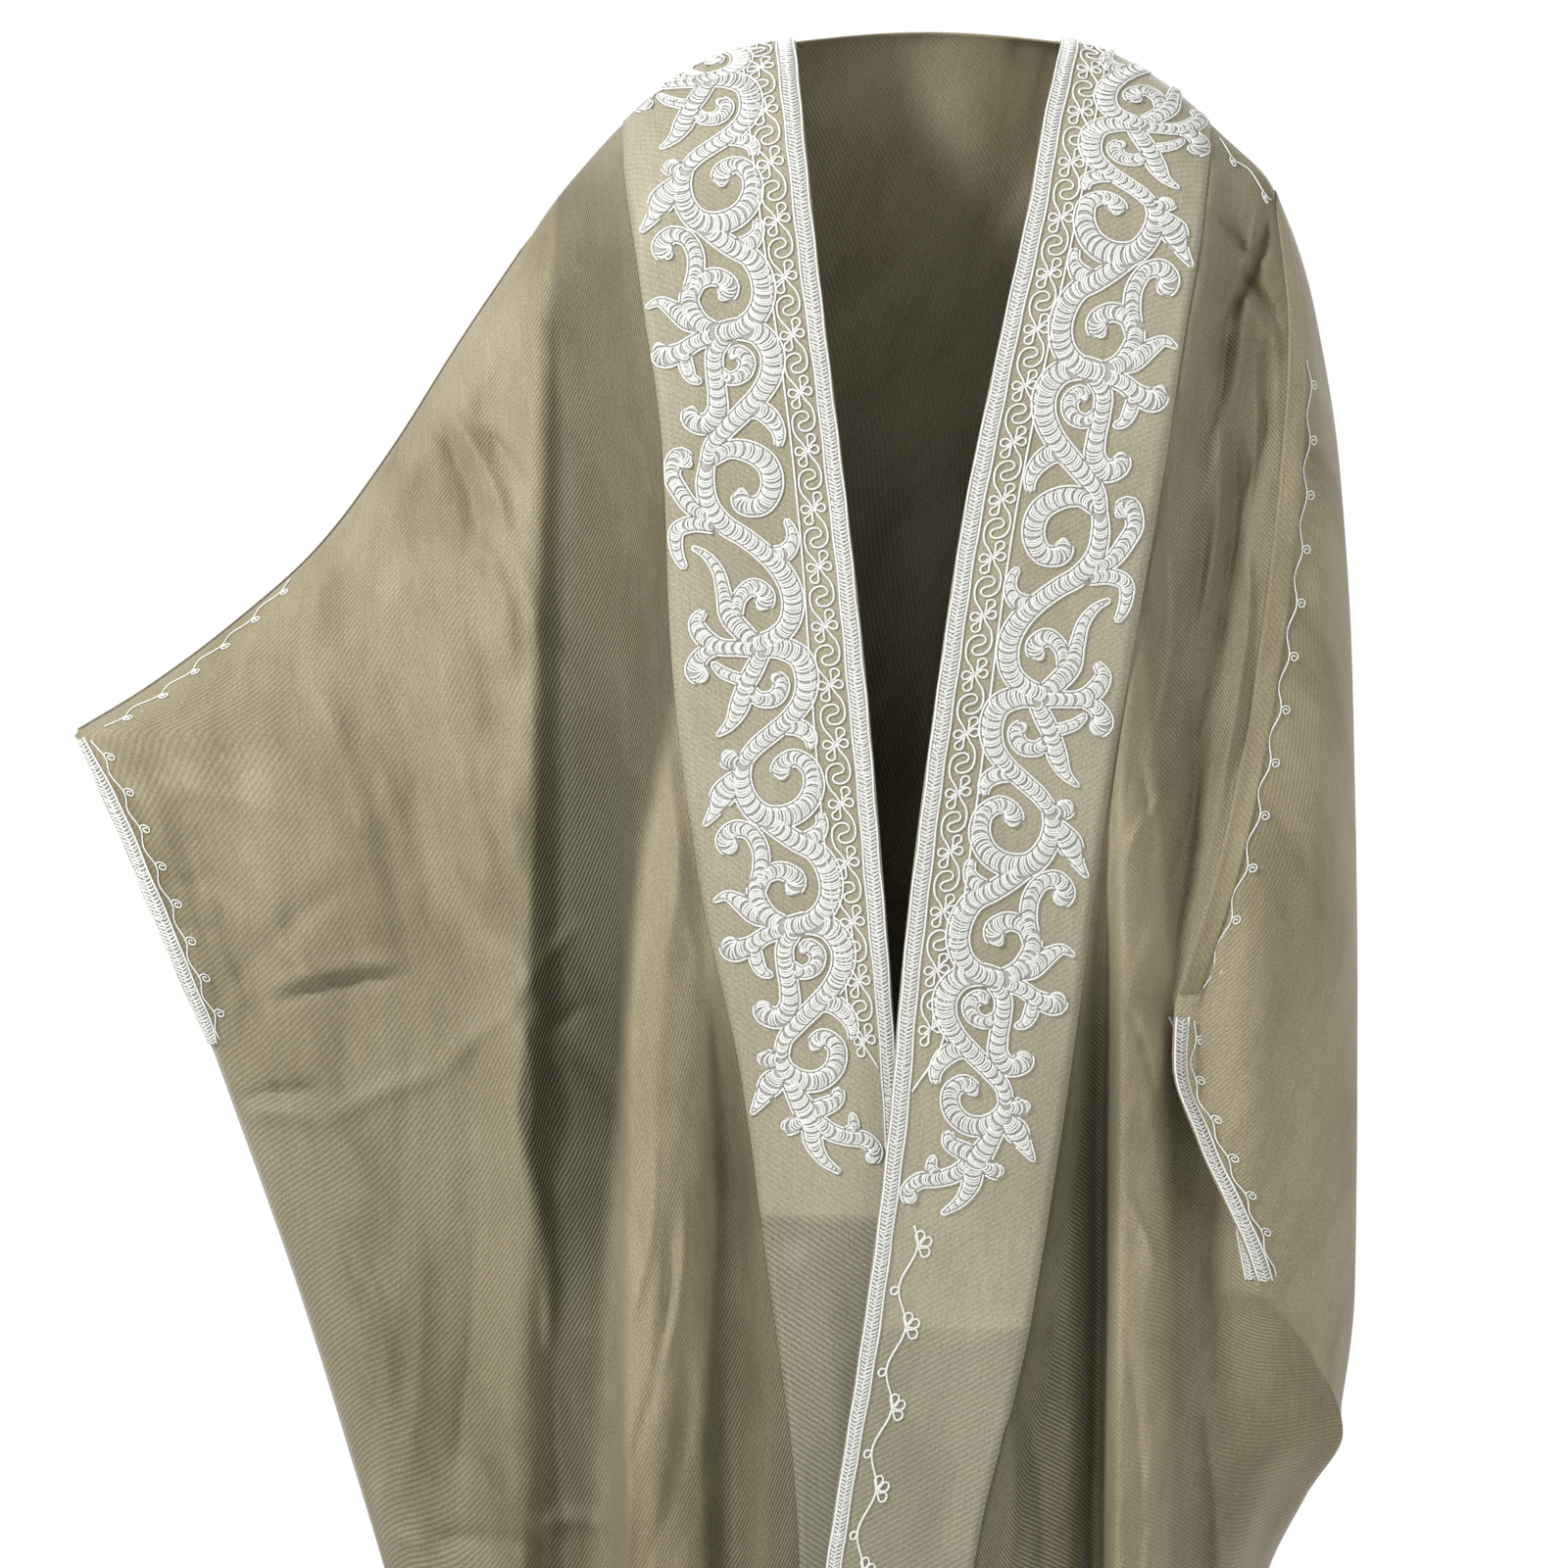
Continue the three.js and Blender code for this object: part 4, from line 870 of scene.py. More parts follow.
def lay(cloth, u, v, height):
    """Points and normals at u away from the edge, v along it and a height over the cloth."""
    count, columns = cloth["rows"].shape[:2]
    row = np.clip(np.interp(v, cloth["rail"], np.arange(count)), 0, count - 1.0001)
    column = np.clip(np.asarray(u, float) / cloth["span"] * (columns - 1), 0, columns - 1.0001)
    i, j = row.astype(int), column.astype(int)
    a, b = (row - i)[..., None], (column - j)[..., None]
    rows = cloth["rows"]
    both = mix(mix(rows[i, j], rows[i, j + 1], b), mix(rows[i + 1, j], rows[i + 1, j + 1], b), a)
    normal = unit(both[..., 3:])
    return both[..., :3] + normal * np.asarray(height, float)[..., None], normal


band_twill = twill("satin_twill", ("#98927D", "#918B76", "#86806B"), rough=0.55, rib=0.003, angle=45,
                   rib_depth=0.0001, crinkle=0.002)
trim_depths = np.concatenate([np.linspace(0, 1, 10)[:-1] ** 2 * 40, np.linspace(40, LENGTH, 330)])
band_across = np.linspace(0, BAND_SHARE, 15)
band_patch = {
    "right": patch(right_front_face, 1, trim_depths, band_across),
    "left": patch(left_front_face, -1, trim_depths, band_across),
}


def laid_sheet(name, cloth, from_u, to_u, from_v, to_v, height, columns, rows, zones=None):
    """A strip of cloth laid on a patch, with its faces outwards."""

    def face(u, v):
        return lay(cloth, u, v, np.full(np.shape(u), height))[0]

    us, vs = np.linspace(from_u, to_u, columns), np.linspace(from_v, to_v, rows)
    corners = ((us[0], vs[0]), (us[1], vs[0]), (us[0], vs[1]))
    here, beside, below = (face(np.array([u]), np.array([v]))[0] for u, v in corners)
    up = lay(cloth, us[:1], vs[:1], np.zeros(1))[1][0]
    # The grid faces the way of its columns crossed with its rows. It is turned where that is into the cloth.
    inwards = np.dot(np.cross(beside - here, below - here), up) < 0
    return cloth_grid(name, face, us, vs, turned=inwards, zones=zones)


def lower_length(join, shade_and_tone, foot_deep):
    """The tone of a band below the height where its second length is joined on."""
    rows = [(0, 0.0), (join + 3, 0.0), (join, shade_and_tone), (-LENGTH, foot_deep)]
    return table(ZONE, [(z, -400, 400, tone) for z, tone in rows])


# Each band is pieced from two lengths. The lower one is a little deeper in tone.
BAND_ZONES = {"right": [lower_length(-784, 0.42, 0.5)], "left": [lower_length(-856, 0.2, 0.3)]}

for side, flat in (("right", (0.120, 1.47)), ("left", (0.120, 1.49))):
    length = band_patch[side]["rail"][-1]
    band = laid_sheet(f"band_{side}_cloth", band_patch[side], 0, BAND_CHART, 0, length, BAND_TOP, 17, 400,
                      zones=BAND_ZONES[side])
    thicken(band, 0.9)
    finish_piece(band, band_twill, "band_cloth", f"band_{side}")

# -------------------------------------------------------------- couched cords
# All the embroidery is couched: cords lie on the cloth and are caught down with small stitches.
# The edge braid is two cords with rows of scallops between them, worked down both front edges.
# The cord is a shiny rayon of about 1.5 mm, lightly twisted, over a padding painted grey as the shade between
# the cords.
def thread(name, colour, twist):
    """A twisted thread: its plies show as small grooves, painted darker as shade."""
    material = bpy.data.materials.new(name)
    material.use_nodes = True
    tree = material.node_tree
    shader = tree.nodes["Principled BSDF"]
    place = node(tree, "ShaderNodeTexCoord").outputs["Object"]
    plies = node(tree, "ShaderNodeTexNoise", Vector=place, Scale=twist, Detail=1.0, Roughness=0.5)
    # Painted shade: the grooves between the plies are darkened.
    between = ramp(tree, plies.outputs["Fac"], [(0.35, "#A5A5A2"), (0.65, "#FFFFFF")])
    shade = node(tree, "ShaderNodeMix", dict(data_type="RGBA", blend_type="MULTIPLY"), _0=0.4,
                 _6=linear(colour), _7=between)
    tree.links.new(shade.outputs[2], shader.inputs["Base Color"])
    bump = node(tree, "ShaderNodeBump", Strength=0.4, Distance=0.0003, Height=plies.outputs["Fac"])
    tree.links.new(bump.outputs[0], shader.inputs["Normal"])
    shader.inputs["Roughness"].default_value = 0.5
    shader.inputs["Sheen Weight"].default_value = 0.15
    return material


white_cord = thread("rayon_cord", "#C6C6C2", 900.0)
# The padding is grey: painted shade between the white cords.
shaded_padding = thread("padding_painted_shade", "#8C8C85", 700.0)
CORD, FINE_CORD, THIN_CORD = 0.78, 0.72, 0.55


def cords(cloth, lines, radius, sides=5, closed=False):
    """Vertices and faces of cords along lines of (u, v, height), which all have as many points."""
    lines = np.asarray(lines, float)
    centre, up = lay(cloth, lines[..., 0], lines[..., 1], lines[..., 2])
    if closed:
        along = np.roll(centre, -1, axis=1) - np.roll(centre, 1, axis=1)
    else:
        along = np.gradient(centre, axis=1)
    along = unit(along)
    side = unit(np.cross(along, up))
    up = np.cross(side, along)
    turn = 2 * np.pi * np.arange(sides) / sides
    radius = np.broadcast_to(radius, lines.shape[:2])[..., None, None]
    ring = np.cos(turn)[:, None] * side[:, :, None] + np.sin(turn)[:, None] * up[:, :, None]
    vertices = (centre[:, :, None] + radius * ring).reshape(-1, 3)
    index = np.arange(len(vertices)).reshape(len(lines), -1, sides)
    a, b = (index, np.roll(index, -1, axis=1)) if closed else (index[:, :-1], index[:, 1:])
    faces = np.stack([a, b, np.roll(b, -1, 2), np.roll(a, -1, 2)], -1).reshape(-1, 4).tolist()
    if not closed:
        faces += index[:, 0].tolist() + index[:, -1, ::-1].tolist()
    return vertices, faces


def joined(name, parts):
    """One mesh from many (vertices, faces) lists."""
    vertices, faces, start = [], [], 0
    for points, polygons in parts:
        vertices.append(points)
        faces += [[k + start for k in polygon] for polygon in polygons]
        start += len(points)
    mesh = bpy.data.meshes.new(name)
    mesh.from_pydata((np.concatenate(vertices) * MM).tolist(), [], faces)
    return placed(name, mesh)


def worked(name, parts, material, *nodes):
    """A finished piece of embroidery."""
    finish_piece(joined(name, parts), material, "thread", *nodes)


BORDER_STEP, BORDER_WOBBLE = 4.0, 0.25
SCALLOP_PITCH, SCALLOP_BULGE, SCALLOP_POINTS = 2.6, 1.9, 5


def straight(u, from_v, to_v, height, seed):
    """A border cord: straight, but for the slight wobble of hand work."""
    v = np.linspace(from_v, to_v, max(2, int((to_v - from_v) / BORDER_STEP)))
    rng = np.random.default_rng(seed)
    a, b = rng.uniform(0, 6, 2)
    wobble = BORDER_WOBBLE * (np.sin(v / 7 + a) + np.sin(v / 23 + b))
    return [np.stack([u + wobble, v, np.full_like(v, height)], -1)]


def scallops(from_u, to_u, from_v, to_v, height, rise, seed):
    """A row of crescents from one border cord to the other, each bulging along the row."""
    v = np.arange(from_v + 1.5, to_v - 1.5, SCALLOP_PITCH)
    q = np.linspace(-1, 1, SCALLOP_POINTS)
    rng = np.random.default_rng(seed)
    jitter = rng.normal(0, 0.25, (2, len(v), 1))
    u = (from_u + to_u) / 2 + (to_u - from_u) / 2 * q + jitter[0] * 0.5
    along = v[:, None] + SCALLOP_BULGE * (1 - q**2) + jitter[1]
    high = np.broadcast_to(height + rise * (1 - q**2), along.shape)
    return np.stack([np.broadcast_to(u, along.shape), along, high], -1)


def braid(cloth, from_u, to_u, from_v, to_v, base):
    """A braid's cords: two border cords and two rows of scallops between them."""
    parts = [cords(cloth, straight(u, from_v, to_v, base + CORD * 0.8, seed=k), CORD)
             for k, u in enumerate((from_u + CORD, to_u - CORD))]
    middle = (from_u + to_u) / 2
    for number, (near, far) in enumerate(((from_u + 1.7, middle + 1.8), (middle - 1.8, to_u - 1.7))):
        row = scallops(near, far, from_v + 1.3 * number, to_v, base + 0.5, 0.5, seed=number)
        parts.append(cords(cloth, row, FINE_CORD, 4))
    return parts


EDGE_BRAID = (0.5, 12.3)
for side in ("right", "left"):
    length = band_patch[side]["rail"][-1]
    work = braid(band_patch[side], *EDGE_BRAID, 0.6, length - 0.6, BAND_TOP)
    worked(f"edge_braid_{side}_cords", work, white_cord, f"edge_braid_{side}")
    # The ground under the scallops, grey as painted shade between the cords.
    ground = laid_sheet(f"edge_braid_{side}_ground", band_patch[side], 1.0, 11.8, 0.6, length - 0.6,
                        BAND_TOP + 0.5, 5, 300)
    finish_piece(ground, shaded_padding, "thread")

# -------------------------------------------------------------- inner borders
# A narrow border beside each edge braid: one cord worked in interlocked hooks and four-looped clovers,
# with a plain cord outside it. Both borders end in a point where the fronts meet.
BORDER_MIDDLE, BORDER_PITCH = 22.6, 39.0
# Half of a hook, from the clover above it to its own middle: across and down, from the hook's middle.
HALF_HOOK = [(0, -19.5), (2.6, -14.8), (6.3, -9.4), (7.7, -2.6), (6.2, 3.6), (2.2, 6.4), (-2.2, 6.0),
             (-3.9, 3.2), (-2.6, 1.0), (0, 0)]
# The loops of a clover: direction in degrees from level, length and width.
CLOVER = [(-66, 11.6, 5.6), (-6, 8.0, 5.4), (114, 11.6, 5.6), (174, 8.0, 5.4)]


def spun(line, height):
    """A line of (u, v) as a cord line, with its height."""
    line = np.asarray(line, float)
    return np.concatenate([line, np.full((len(line), 1), height)], axis=1)[None]


def smooth_line(knots, step=1.6):
    """A rounded line through a few points, at even steps."""
    knots = np.asarray(knots, float)
    at = run_along(knots)
    t = np.linspace(0, at[-1], 160)
    k = np.clip(np.searchsorted(at, t, side="right") - 1, 0, len(at) - 2)
    slope = np.gradient(knots, at, axis=0)
    span = (at[k + 1] - at[k])[:, None]
    u = ((t - at[k]) / (at[k + 1] - at[k]))[:, None]
    line = (knots[k] * (1 + 2 * u) * (1 - u) ** 2 + knots[k + 1] * (3 - 2 * u) * u**2
            + slope[k] * span * u * (1 - u) ** 2 + slope[k + 1] * span * u**2 * (u - 1))
    run = run_along(line)
    even = np.linspace(0, run[-1], max(3, int(run[-1] / step)))
    return np.stack([np.interp(even, run, line[:, k]) for k in range(line.shape[1])], -1)


def petal(direction, length, width):
    """A round loop at the end of a neck, from the middle of its cluster."""
    turn = np.radians(np.linspace(-140, 140, 15))
    out = np.concatenate([[0.3, (length - width) * 0.6], length - width / 2 + width / 2 * np.cos(turn),
                          [(length - width) * 0.6]])
    off = np.concatenate([[0, -0.5], width / 2 * np.sin(turn), [0.5]])
    a = math.radians(direction)
    return np.stack([-(out * math.cos(a) - off * math.sin(a)), out * math.sin(a) + off * math.cos(a)], -1)


def set_down(line, mirrored, v):
    """A line of the border's repeat at its place down the band."""
    return np.stack([BORDER_MIDDLE + mirrored * line[:, 0], v + line[:, 1]], -1)


BORDER_END = {"right": 735.0, "left": 757.0}
BORDER_START, BORDER_SIDE = 14, 32.6
for side in ("right", "left"):
    cloth, parts = band_patch[side], []
    mirrored = 1 if side == "right" else -1
    last = BORDER_END[side]
    high = BAND_TOP + CORD * 0.8
    repeats = int((last - 30) / BORDER_PITCH)
    for k in range(repeats + 1):
        v = BORDER_START + k * BORDER_PITCH
        for direction, length, width in CLOVER:
            loop = set_down(petal(direction, length, width), mirrored, v)
            parts.append(cords(cloth, spun(loop, high), CORD, closed=True))
        if k < repeats:
            half = [(-across, BORDER_PITCH / 2 + down) for across, down in HALF_HOOK]
            whole = half + [(-across, BORDER_PITCH - down) for across, down in half[-2::-1]]
            parts.append(cords(cloth, spun(set_down(smooth_line(whole), mirrored, v), high), CORD))
    outside = smooth_line([(BORDER_SIDE, 0.5), (BORDER_SIDE, last * 0.5), (BORDER_SIDE, last - 60),
                           (30.5, last - 30), (13.5, last)], 4)
    parts.append(cords(cloth, spun(outside, high), CORD))
    worked(f"border_{side}", parts, white_cord)

# -------------------------------------------------------------------- scrolls
# The large scrolls: leafy stems of padded strokes, each outlined with a cord and filled with crescents. Two
# units are charted, which alternate down the band, and a shorter one that ends it. Each row is a stroke, as
# places (u, v, width): u outwards from the front edge, and v down it from where the unit starts.
UNIT_A = [
    [(80, 0, 10), (84, 10, 12), (83, 24, 13), (75, 36, 14), (62, 39, 14), (46, 33, 13.5), (38, 21, 13),
     (39, 8, 11.5), (48, 1, 11), (56, 5, 12.5), (58, 14, 16)],
    [(81, 1, 9), (87, -1, 12), (92, -8, 17)],
    [(84, 6, 8), (91, 13, 13), (98, 20, 15), (106, 31, 8), (114, 39, 3)],
    [(75, 36, 12.5), (65, 47, 12.5), (55, 56, 12.5), (44, 64, 13), (38, 77, 14), (38, 90, 14),
     (45, 103, 13.5), (57, 110, 13), (71, 111, 12.5)],
    [(53, 56, 10), (43, 54, 11.5), (37, 47, 8.5), (37, 38, 5.5)],
    [(71, 111, 12), (81, 104, 12.5), (87, 93, 13), (87, 82, 11)],
    [(86, 86, 10), (79, 76, 10.5), (68, 74, 11.5), (60, 81, 12.5), (66, 89, 15)],
    [(86, 82, 10.5), (81, 70, 11), (80, 56, 11), (85, 46, 10.5), (94, 43, 11), (101, 50, 13),
     (96, 58, 14)],
    [(78, 106, 10), (89, 101, 12.5), (98, 92, 11), (107, 86, 6.5), (116, 89, 3)],
    [(71, 112, 12), (85, 115, 11), (98, 121, 12), (108, 122, 14), (111, 113, 13)],
    [(94, 121, 8), (94, 131, 9.5), (91, 139, 7), (85, 142, 4)],
    [(71, 111, 12.5), (57, 110, 13.5), (44, 115, 14), (37, 128, 14.5), (39, 141, 14), (48, 154, 13),
     (61, 165, 12.5), (74, 175, 12), (85, 186, 10.5), (88, 195, 10)],
    [(67, 115, 11), (74, 123, 11.5), (76, 137, 11.5), (76, 151, 12), (78, 163, 13), (86, 170, 13),
     (95, 165, 12.5), (93, 157, 12)],
    [(75, 135, 8), (66, 142, 9), (57, 139, 10.5), (54, 131, 10.5), (60, 125, 9.5), (65, 130, 6)],
    [(63, 165, 10), (51, 164, 12), (43, 171, 11.5), (39, 182, 8.5), (41, 191, 5)],
]
UNIT_B = [
    [(88, 0, 10), (91, 12, 11.5), (90, 28, 12), (82, 42, 12.5), (70, 52, 12), (58, 64, 12), (49, 76, 13),
     (44, 89, 13.5), (44, 102, 13.5), (49, 113, 13), (59, 120, 12.5), (71, 123, 12)],
    [(85, -2, 10), (73, -7, 11.5), (60, -4, 13), (49, 6, 13.5), (48, 21, 13.5), (57, 32, 13),
     (68, 30, 12.5), (68, 20, 14)],
    [(88, 37, 8), (101, 29, 10.5), (108, 17, 11), (112, 4, 11), (106, -6, 12), (99, 1, 13)],
    [(89, 42, 10), (103, 39, 10.5), (113, 42, 10), (115, 51, 8.5), (114, 60, 7), (111, 68, 4.5)],
    [(56, 65, 10), (45, 65, 11.5), (39, 58, 9), (39, 50, 6.5), (42, 43, 4.5)],
    [(71, 123, 12), (79, 113, 12.5), (86, 102, 12.5), (88, 87, 10), (90, 72, 8), (97, 60, 5.5),
     (105, 54, 3.5)],
    [(82, 103, 9), (78, 91, 10), (68, 85, 11), (61, 92, 12), (66, 100, 14)],
    [(69, 126, 11.5), (82, 124, 10.5), (96, 121, 11), (105, 113, 12), (108, 104, 10), (101, 96, 5)],
    [(97, 122, 9), (107, 126, 11), (112, 135, 13), (105, 142, 14)],
    [(71, 125, 12), (55, 127, 13.5), (43, 135, 14), (40, 149, 14), (44, 163, 13), (53, 173, 12),
     (66, 182, 11.5), (78, 190, 11), (87, 199, 10)],
    [(67, 129, 10.5), (74, 139, 12), (81, 150, 11.5), (86, 162, 12.5), (93, 173, 8), (103, 180, 3)],
    [(77, 147, 9), (87, 143, 8), (94, 139, 7.5), (101, 131, 4)],
    [(79, 151, 8), (72, 159, 10), (62, 159, 11), (57, 150, 10.5), (63, 144, 9.5)],
    [(57, 179, 10), (48, 181, 11), (42, 187, 9.5), (42, 197, 5)],
]
UNIT_END = [
    [(86, 0, 10), (84, 10, 12), (74, 19, 13), (62, 20, 13), (51, 12, 12.5), (49, -1, 11.5), (57, -8, 11),
     (65, -1, 13.5)],
    [(86, 4, 9), (94, 3, 12), (100, 0, 16)],
    [(86, 11, 10), (94, 19, 15), (101, 28, 10), (109, 38, 3)],
    [(82, 15, 12), (79, 26, 12), (74, 38, 14), (70, 47, 14), (70, 59, 12), (65, 72, 8), (54, 83, 3.5)],
    [(72, 41, 12), (61, 38, 12), (52, 34, 10), (50, 25, 6)],
    [(75, 45, 9), (82, 48, 11), (89, 47, 16)],
    [(68, 44, 10), (58, 55, 11), (47, 60, 10.5), (36, 63, 10.5), (30, 71, 10), (35, 78, 14)],
    [(51, 59, 9), (43, 54, 8), (43, 44, 4.5)],
]
# Where each unit starts down the band, how far it is shifted outwards there, and how that changes down it.
UNITS = [
    (UNIT_B, -78, -7, 0),
    (UNIT_A, 121, 0, 0),
    (UNIT_B, 316, 0, -2),
    (UNIT_A, 515, 4, -17),
    (UNIT_END, 709, -10, -8),
]
UNIT_LENGTH = 197.0
# The steps along a stroke, the pitch of its crescents, how far inside they stay, and their points as turns.
STROKE_STEP, FILL_PITCH, FILL_INSET = 1.5, 2.05, 1.9
ARC_TURNS = np.linspace(-82, 82, 6)
# The chart is square to the front edge: how steeply it leans, and how low the edge is at each place down it.
CHART_LEAN = {"right": 0.116, "left": 0.16}
CHART_FALL = {
    "right": [(-10, 0), (45, -22), (121, -82), (316, -276), (515, -473), (709, -666), (800, -756)],
    "left": [(-40, 0), (45, -51), (135, -112), (232, -216), (338, -328), (439, -428), (529, -515),
             (626, -615), (708, -692), (800, -780)],
}


def stepped(line, step):
    """A line of (u, v, width) at even steps."""
    run = run_along(line[:, :2])
    even = np.linspace(0, run[-1], max(4, int(run[-1] / step)))
    return np.stack([np.interp(even, run, line[:, k]) for k in range(3)], -1), even


def strokes():
    """The centre lines of one band's strokes, as (u, v, width)."""
    lines = []
    for group, start, shift, change in UNITS:
        for knots in group:
            line = smooth_line(knots, 1.0)
            line[:, 2] *= 1.08 + 0.02 * np.clip(line[:, 2] - 10, 0, 7)
            line[:, 0] += shift + change * line[:, 1] / UNIT_LENGTH
            line[:, 1] += start
            lines.append(line)
    return lines


def rounded_off(strokes_and_runs):
    """The strokes, closed to a round end wherever they don't meet another one."""
    joints = [(line[:, :2], line[:, 2] / 2) for line, _ in strokes_and_runs]
    for number, (line, run) in enumerate(strokes_and_runs):
        half = line[:, 2] / 2
        closing = np.ones(len(line))
        for end, away in ((0, run), (-1, run[-1] - run)):
            meets = any(other != number and (np.linalg.norm(near - line[end, :2], axis=1) - wide).min() < -0.5
                        for other, (near, wide) in enumerate(joints))
            if not meets:
                closing = np.minimum(closing, np.clip(away / np.maximum(half, 0.1), 0, 1))
        line[:, 2] *= np.sqrt(np.clip(1 - (1 - closing) ** 2, 0.03, 1))
    return [line for line, _ in strokes_and_runs]


def outline(line, side, near):
    """The cord round a stroke, as open or closed lines that stop where another stroke covers it."""
    inset = line[:, 2:] / 2 - CORD * 0.6
    loop = np.concatenate([line[:, :2] + side * inset, (line[:, :2] - side * inset)[::-1]])
    gap = np.linalg.norm(loop[:, None] - near[None, :, :2], axis=-1) - near[None, :, 2]
    shown = gap.min(axis=1) > -CORD * 0.6 - 0.45
    if shown.all():
        return [(loop, True)]
    start = int(np.argmin(shown))
    loop, shown = np.roll(loop, -start, axis=0), np.roll(shown, -start)
    ends = np.flatnonzero(np.diff(np.concatenate([[0], shown.astype(int), [0]])))
    return [(loop[first:stop], False) for first, stop in zip(ends[::2], ends[1::2]) if stop - first > 3]


def filling(line, along, side, earlier, rng):
    """The crescents in a stroke. There are none where an earlier stroke lies over it."""
    arcs = []
    q, raised = np.sin(np.radians(ARC_TURNS)), np.cos(np.radians(ARC_TURNS))
    run = run_along(line[:, :2])
    for at in np.arange(1.2, run[-1] - 0.8, FILL_PITCH) + rng.normal(0, 0.12):
        k = int(np.clip(np.searchsorted(run, at), 0, len(line) - 1))
        apart = np.linalg.norm(earlier[:, :2] - line[k, :2], axis=1) - earlier[:, 2]
        reach = line[k, 2] / 2 - FILL_INSET
        if (len(earlier) and apart.min() < -3.6) or reach < 0.5:
            continue
        bulge = min(3.4, reach) * rng.uniform(0.85, 1.15)
        arc = line[k, :2] + side[k] * (q * reach)[:, None] + along[k] * (bulge * raised - 1.0)[:, None]
        arcs.append(np.column_stack([arc, raised]))
    return arcs


def chart():
    """The flat drawing that both bands share: padded strokes, outlines and crescents."""
    lines = rounded_off([stepped(line, STROKE_STEP) for line in strokes()])
    centres = np.concatenate([np.column_stack([line[:, :2], line[:, 2] / 2, np.full(len(line), number)])
                              for number, line in enumerate(lines)])
    rng = np.random.default_rng(9)
    pads, outlines, crescents = [], [], []
    for number, line in enumerate(lines):
        along = unit(np.gradient(line[:, :2], axis=0))
        side = np.stack([-along[:, 1], along[:, 0]], -1)
        near = centres[np.abs(centres[:, 1] - line[:, 1].mean()) < 90]
        pads.append((line, side))
        outlines += outline(line, side, near)
        crescents += filling(line, along, side, near[near[:, 3] < number], rng)
    return pads, outlines, np.array(crescents)


pads, outlines, crescents = chart()


# The padding's section, from one side of a stroke to the other, in shares of its half width, and its heights.
PAD_PLACES = np.array([-1, -0.6, 0, 0.6, 1])
PAD_HEIGHTS = [0.0, 0.75, 1.05, 0.75, 0.0]


def padded(cloth, rows):
    """A low dome under one stroke, from rows of five places across it."""
    high = BAND_TOP + np.broadcast_to(PAD_HEIGHTS, rows.shape[:2])
    points, up = lay(cloth, rows[..., 0], rows[..., 1], high)
    index = np.arange(points.shape[0] * 5).reshape(-1, 5)
    faces = np.stack([index[:-1, :-1], index[1:, :-1], index[1:, 1:], index[:-1, 1:]], -1).reshape(-1, 4)
    middle = points.shape[0] // 2
    normal = np.cross(points[middle, 3] - points[middle, 2], points[middle - 1, 2] - points[middle, 2])
    if np.dot(normal, up[middle, 2]) < 0:
        faces = faces[:, ::-1]
    return points.reshape(-1, 3), faces.tolist()


def hung(side, line):
    """Chart places moved onto the band, whose own rows are level and drop over the shoulder."""
    cloth, lean = band_patch[side], CHART_LEAN[side]
    edge, sign = cloth["rows"][:, 0, :3], -1 if side == "right" else 1
    low = np.interp(line[..., 1], *zip(*CHART_FALL[side]))
    want_x = np.interp(-low, -edge[:, 2], edge[:, 0]) + sign * math.cos(lean) * line[..., 0]
    want_z = low - math.sin(lean) * line[..., 0]
    u, v = line[..., 0].copy(), np.interp(-low, -edge[:, 2], cloth["rail"])
    for _ in range(24):
        x, _, z = np.moveaxis(lay(cloth, u, v, np.zeros_like(u))[0], -1, 0)
        u = np.clip(u + sign * (want_x - x), 0, BAND_CHART - 1)
        v = v - (want_z - z)
    moved = np.array(line, float)
    moved[..., 0], moved[..., 1] = u, v
    return moved


def kept(line):
    """Only what lies on the band: the embroidery starts at the shoulder seam."""
    return line[..., 1] > 1.0


for side in ("right", "left"):
    cloth, cord_parts, pad_parts = band_patch[side], [], []
    for loop, closed in outlines:
        loop = hung(side, loop)
        inside = kept(loop)
        if not inside.any():
            continue
        if not inside.all():
            loop, closed = loop[inside], False
        if len(loop) < 3:
            continue
        line = np.column_stack([loop, np.full(len(loop), BAND_TOP + 0.75)])
        cord_parts.append(cords(cloth, line[None], CORD, closed=closed))
    arcs = hung(side, crescents)
    arcs = arcs[kept(arcs).all(axis=1)]
    lines = np.stack([arcs[..., 0], arcs[..., 1], BAND_TOP + 0.85 + 0.7 * arcs[..., 2]], -1)
    cord_parts.append(cords(cloth, lines, CORD, 4))
    worked(f"scroll_{side}_cords", cord_parts, white_cord, f"scroll_{side}")
    # The padding under the strokes, grey as painted shade between the cords.
    for line, across in pads:
        half = line[:, 2:] / 2
        u = line[:, :1] + across[:, :1] * half * PAD_PLACES
        v = line[:, 1:2] + across[:, 1:2] * half * PAD_PLACES
        rows = hung(side, np.stack([u, v], -1))
        inside = kept(rows).all(axis=1)
        if inside.sum() > 3:
            pad_parts.append(padded(cloth, rows[inside]))
    worked(f"scroll_{side}_padding", pad_parts, shaded_padding)

# ------------------------------------------------------- neck, cuffs and seams
# The same braid edges the back of the neck and both hand openings. The allowance of each arm seam is turned
# under and sewn down on the back panel, and a thin vine with small curls runs beside seams and openings.


def along_neck(across, along):
    """The back, with its rows along the neck."""
    return back_face(along, across)


neck_cloth = patch(along_neck, -1, np.linspace(-0.098, 0.098, 60), np.linspace(0.3, 20, 12), 16)
neck_work = braid(neck_cloth, 0.3, 11.5, 0.5, neck_cloth["rail"][-1] - 0.5, 0.3)
worked("neck_braid_cords", neck_work, white_cord, "neck_braid")

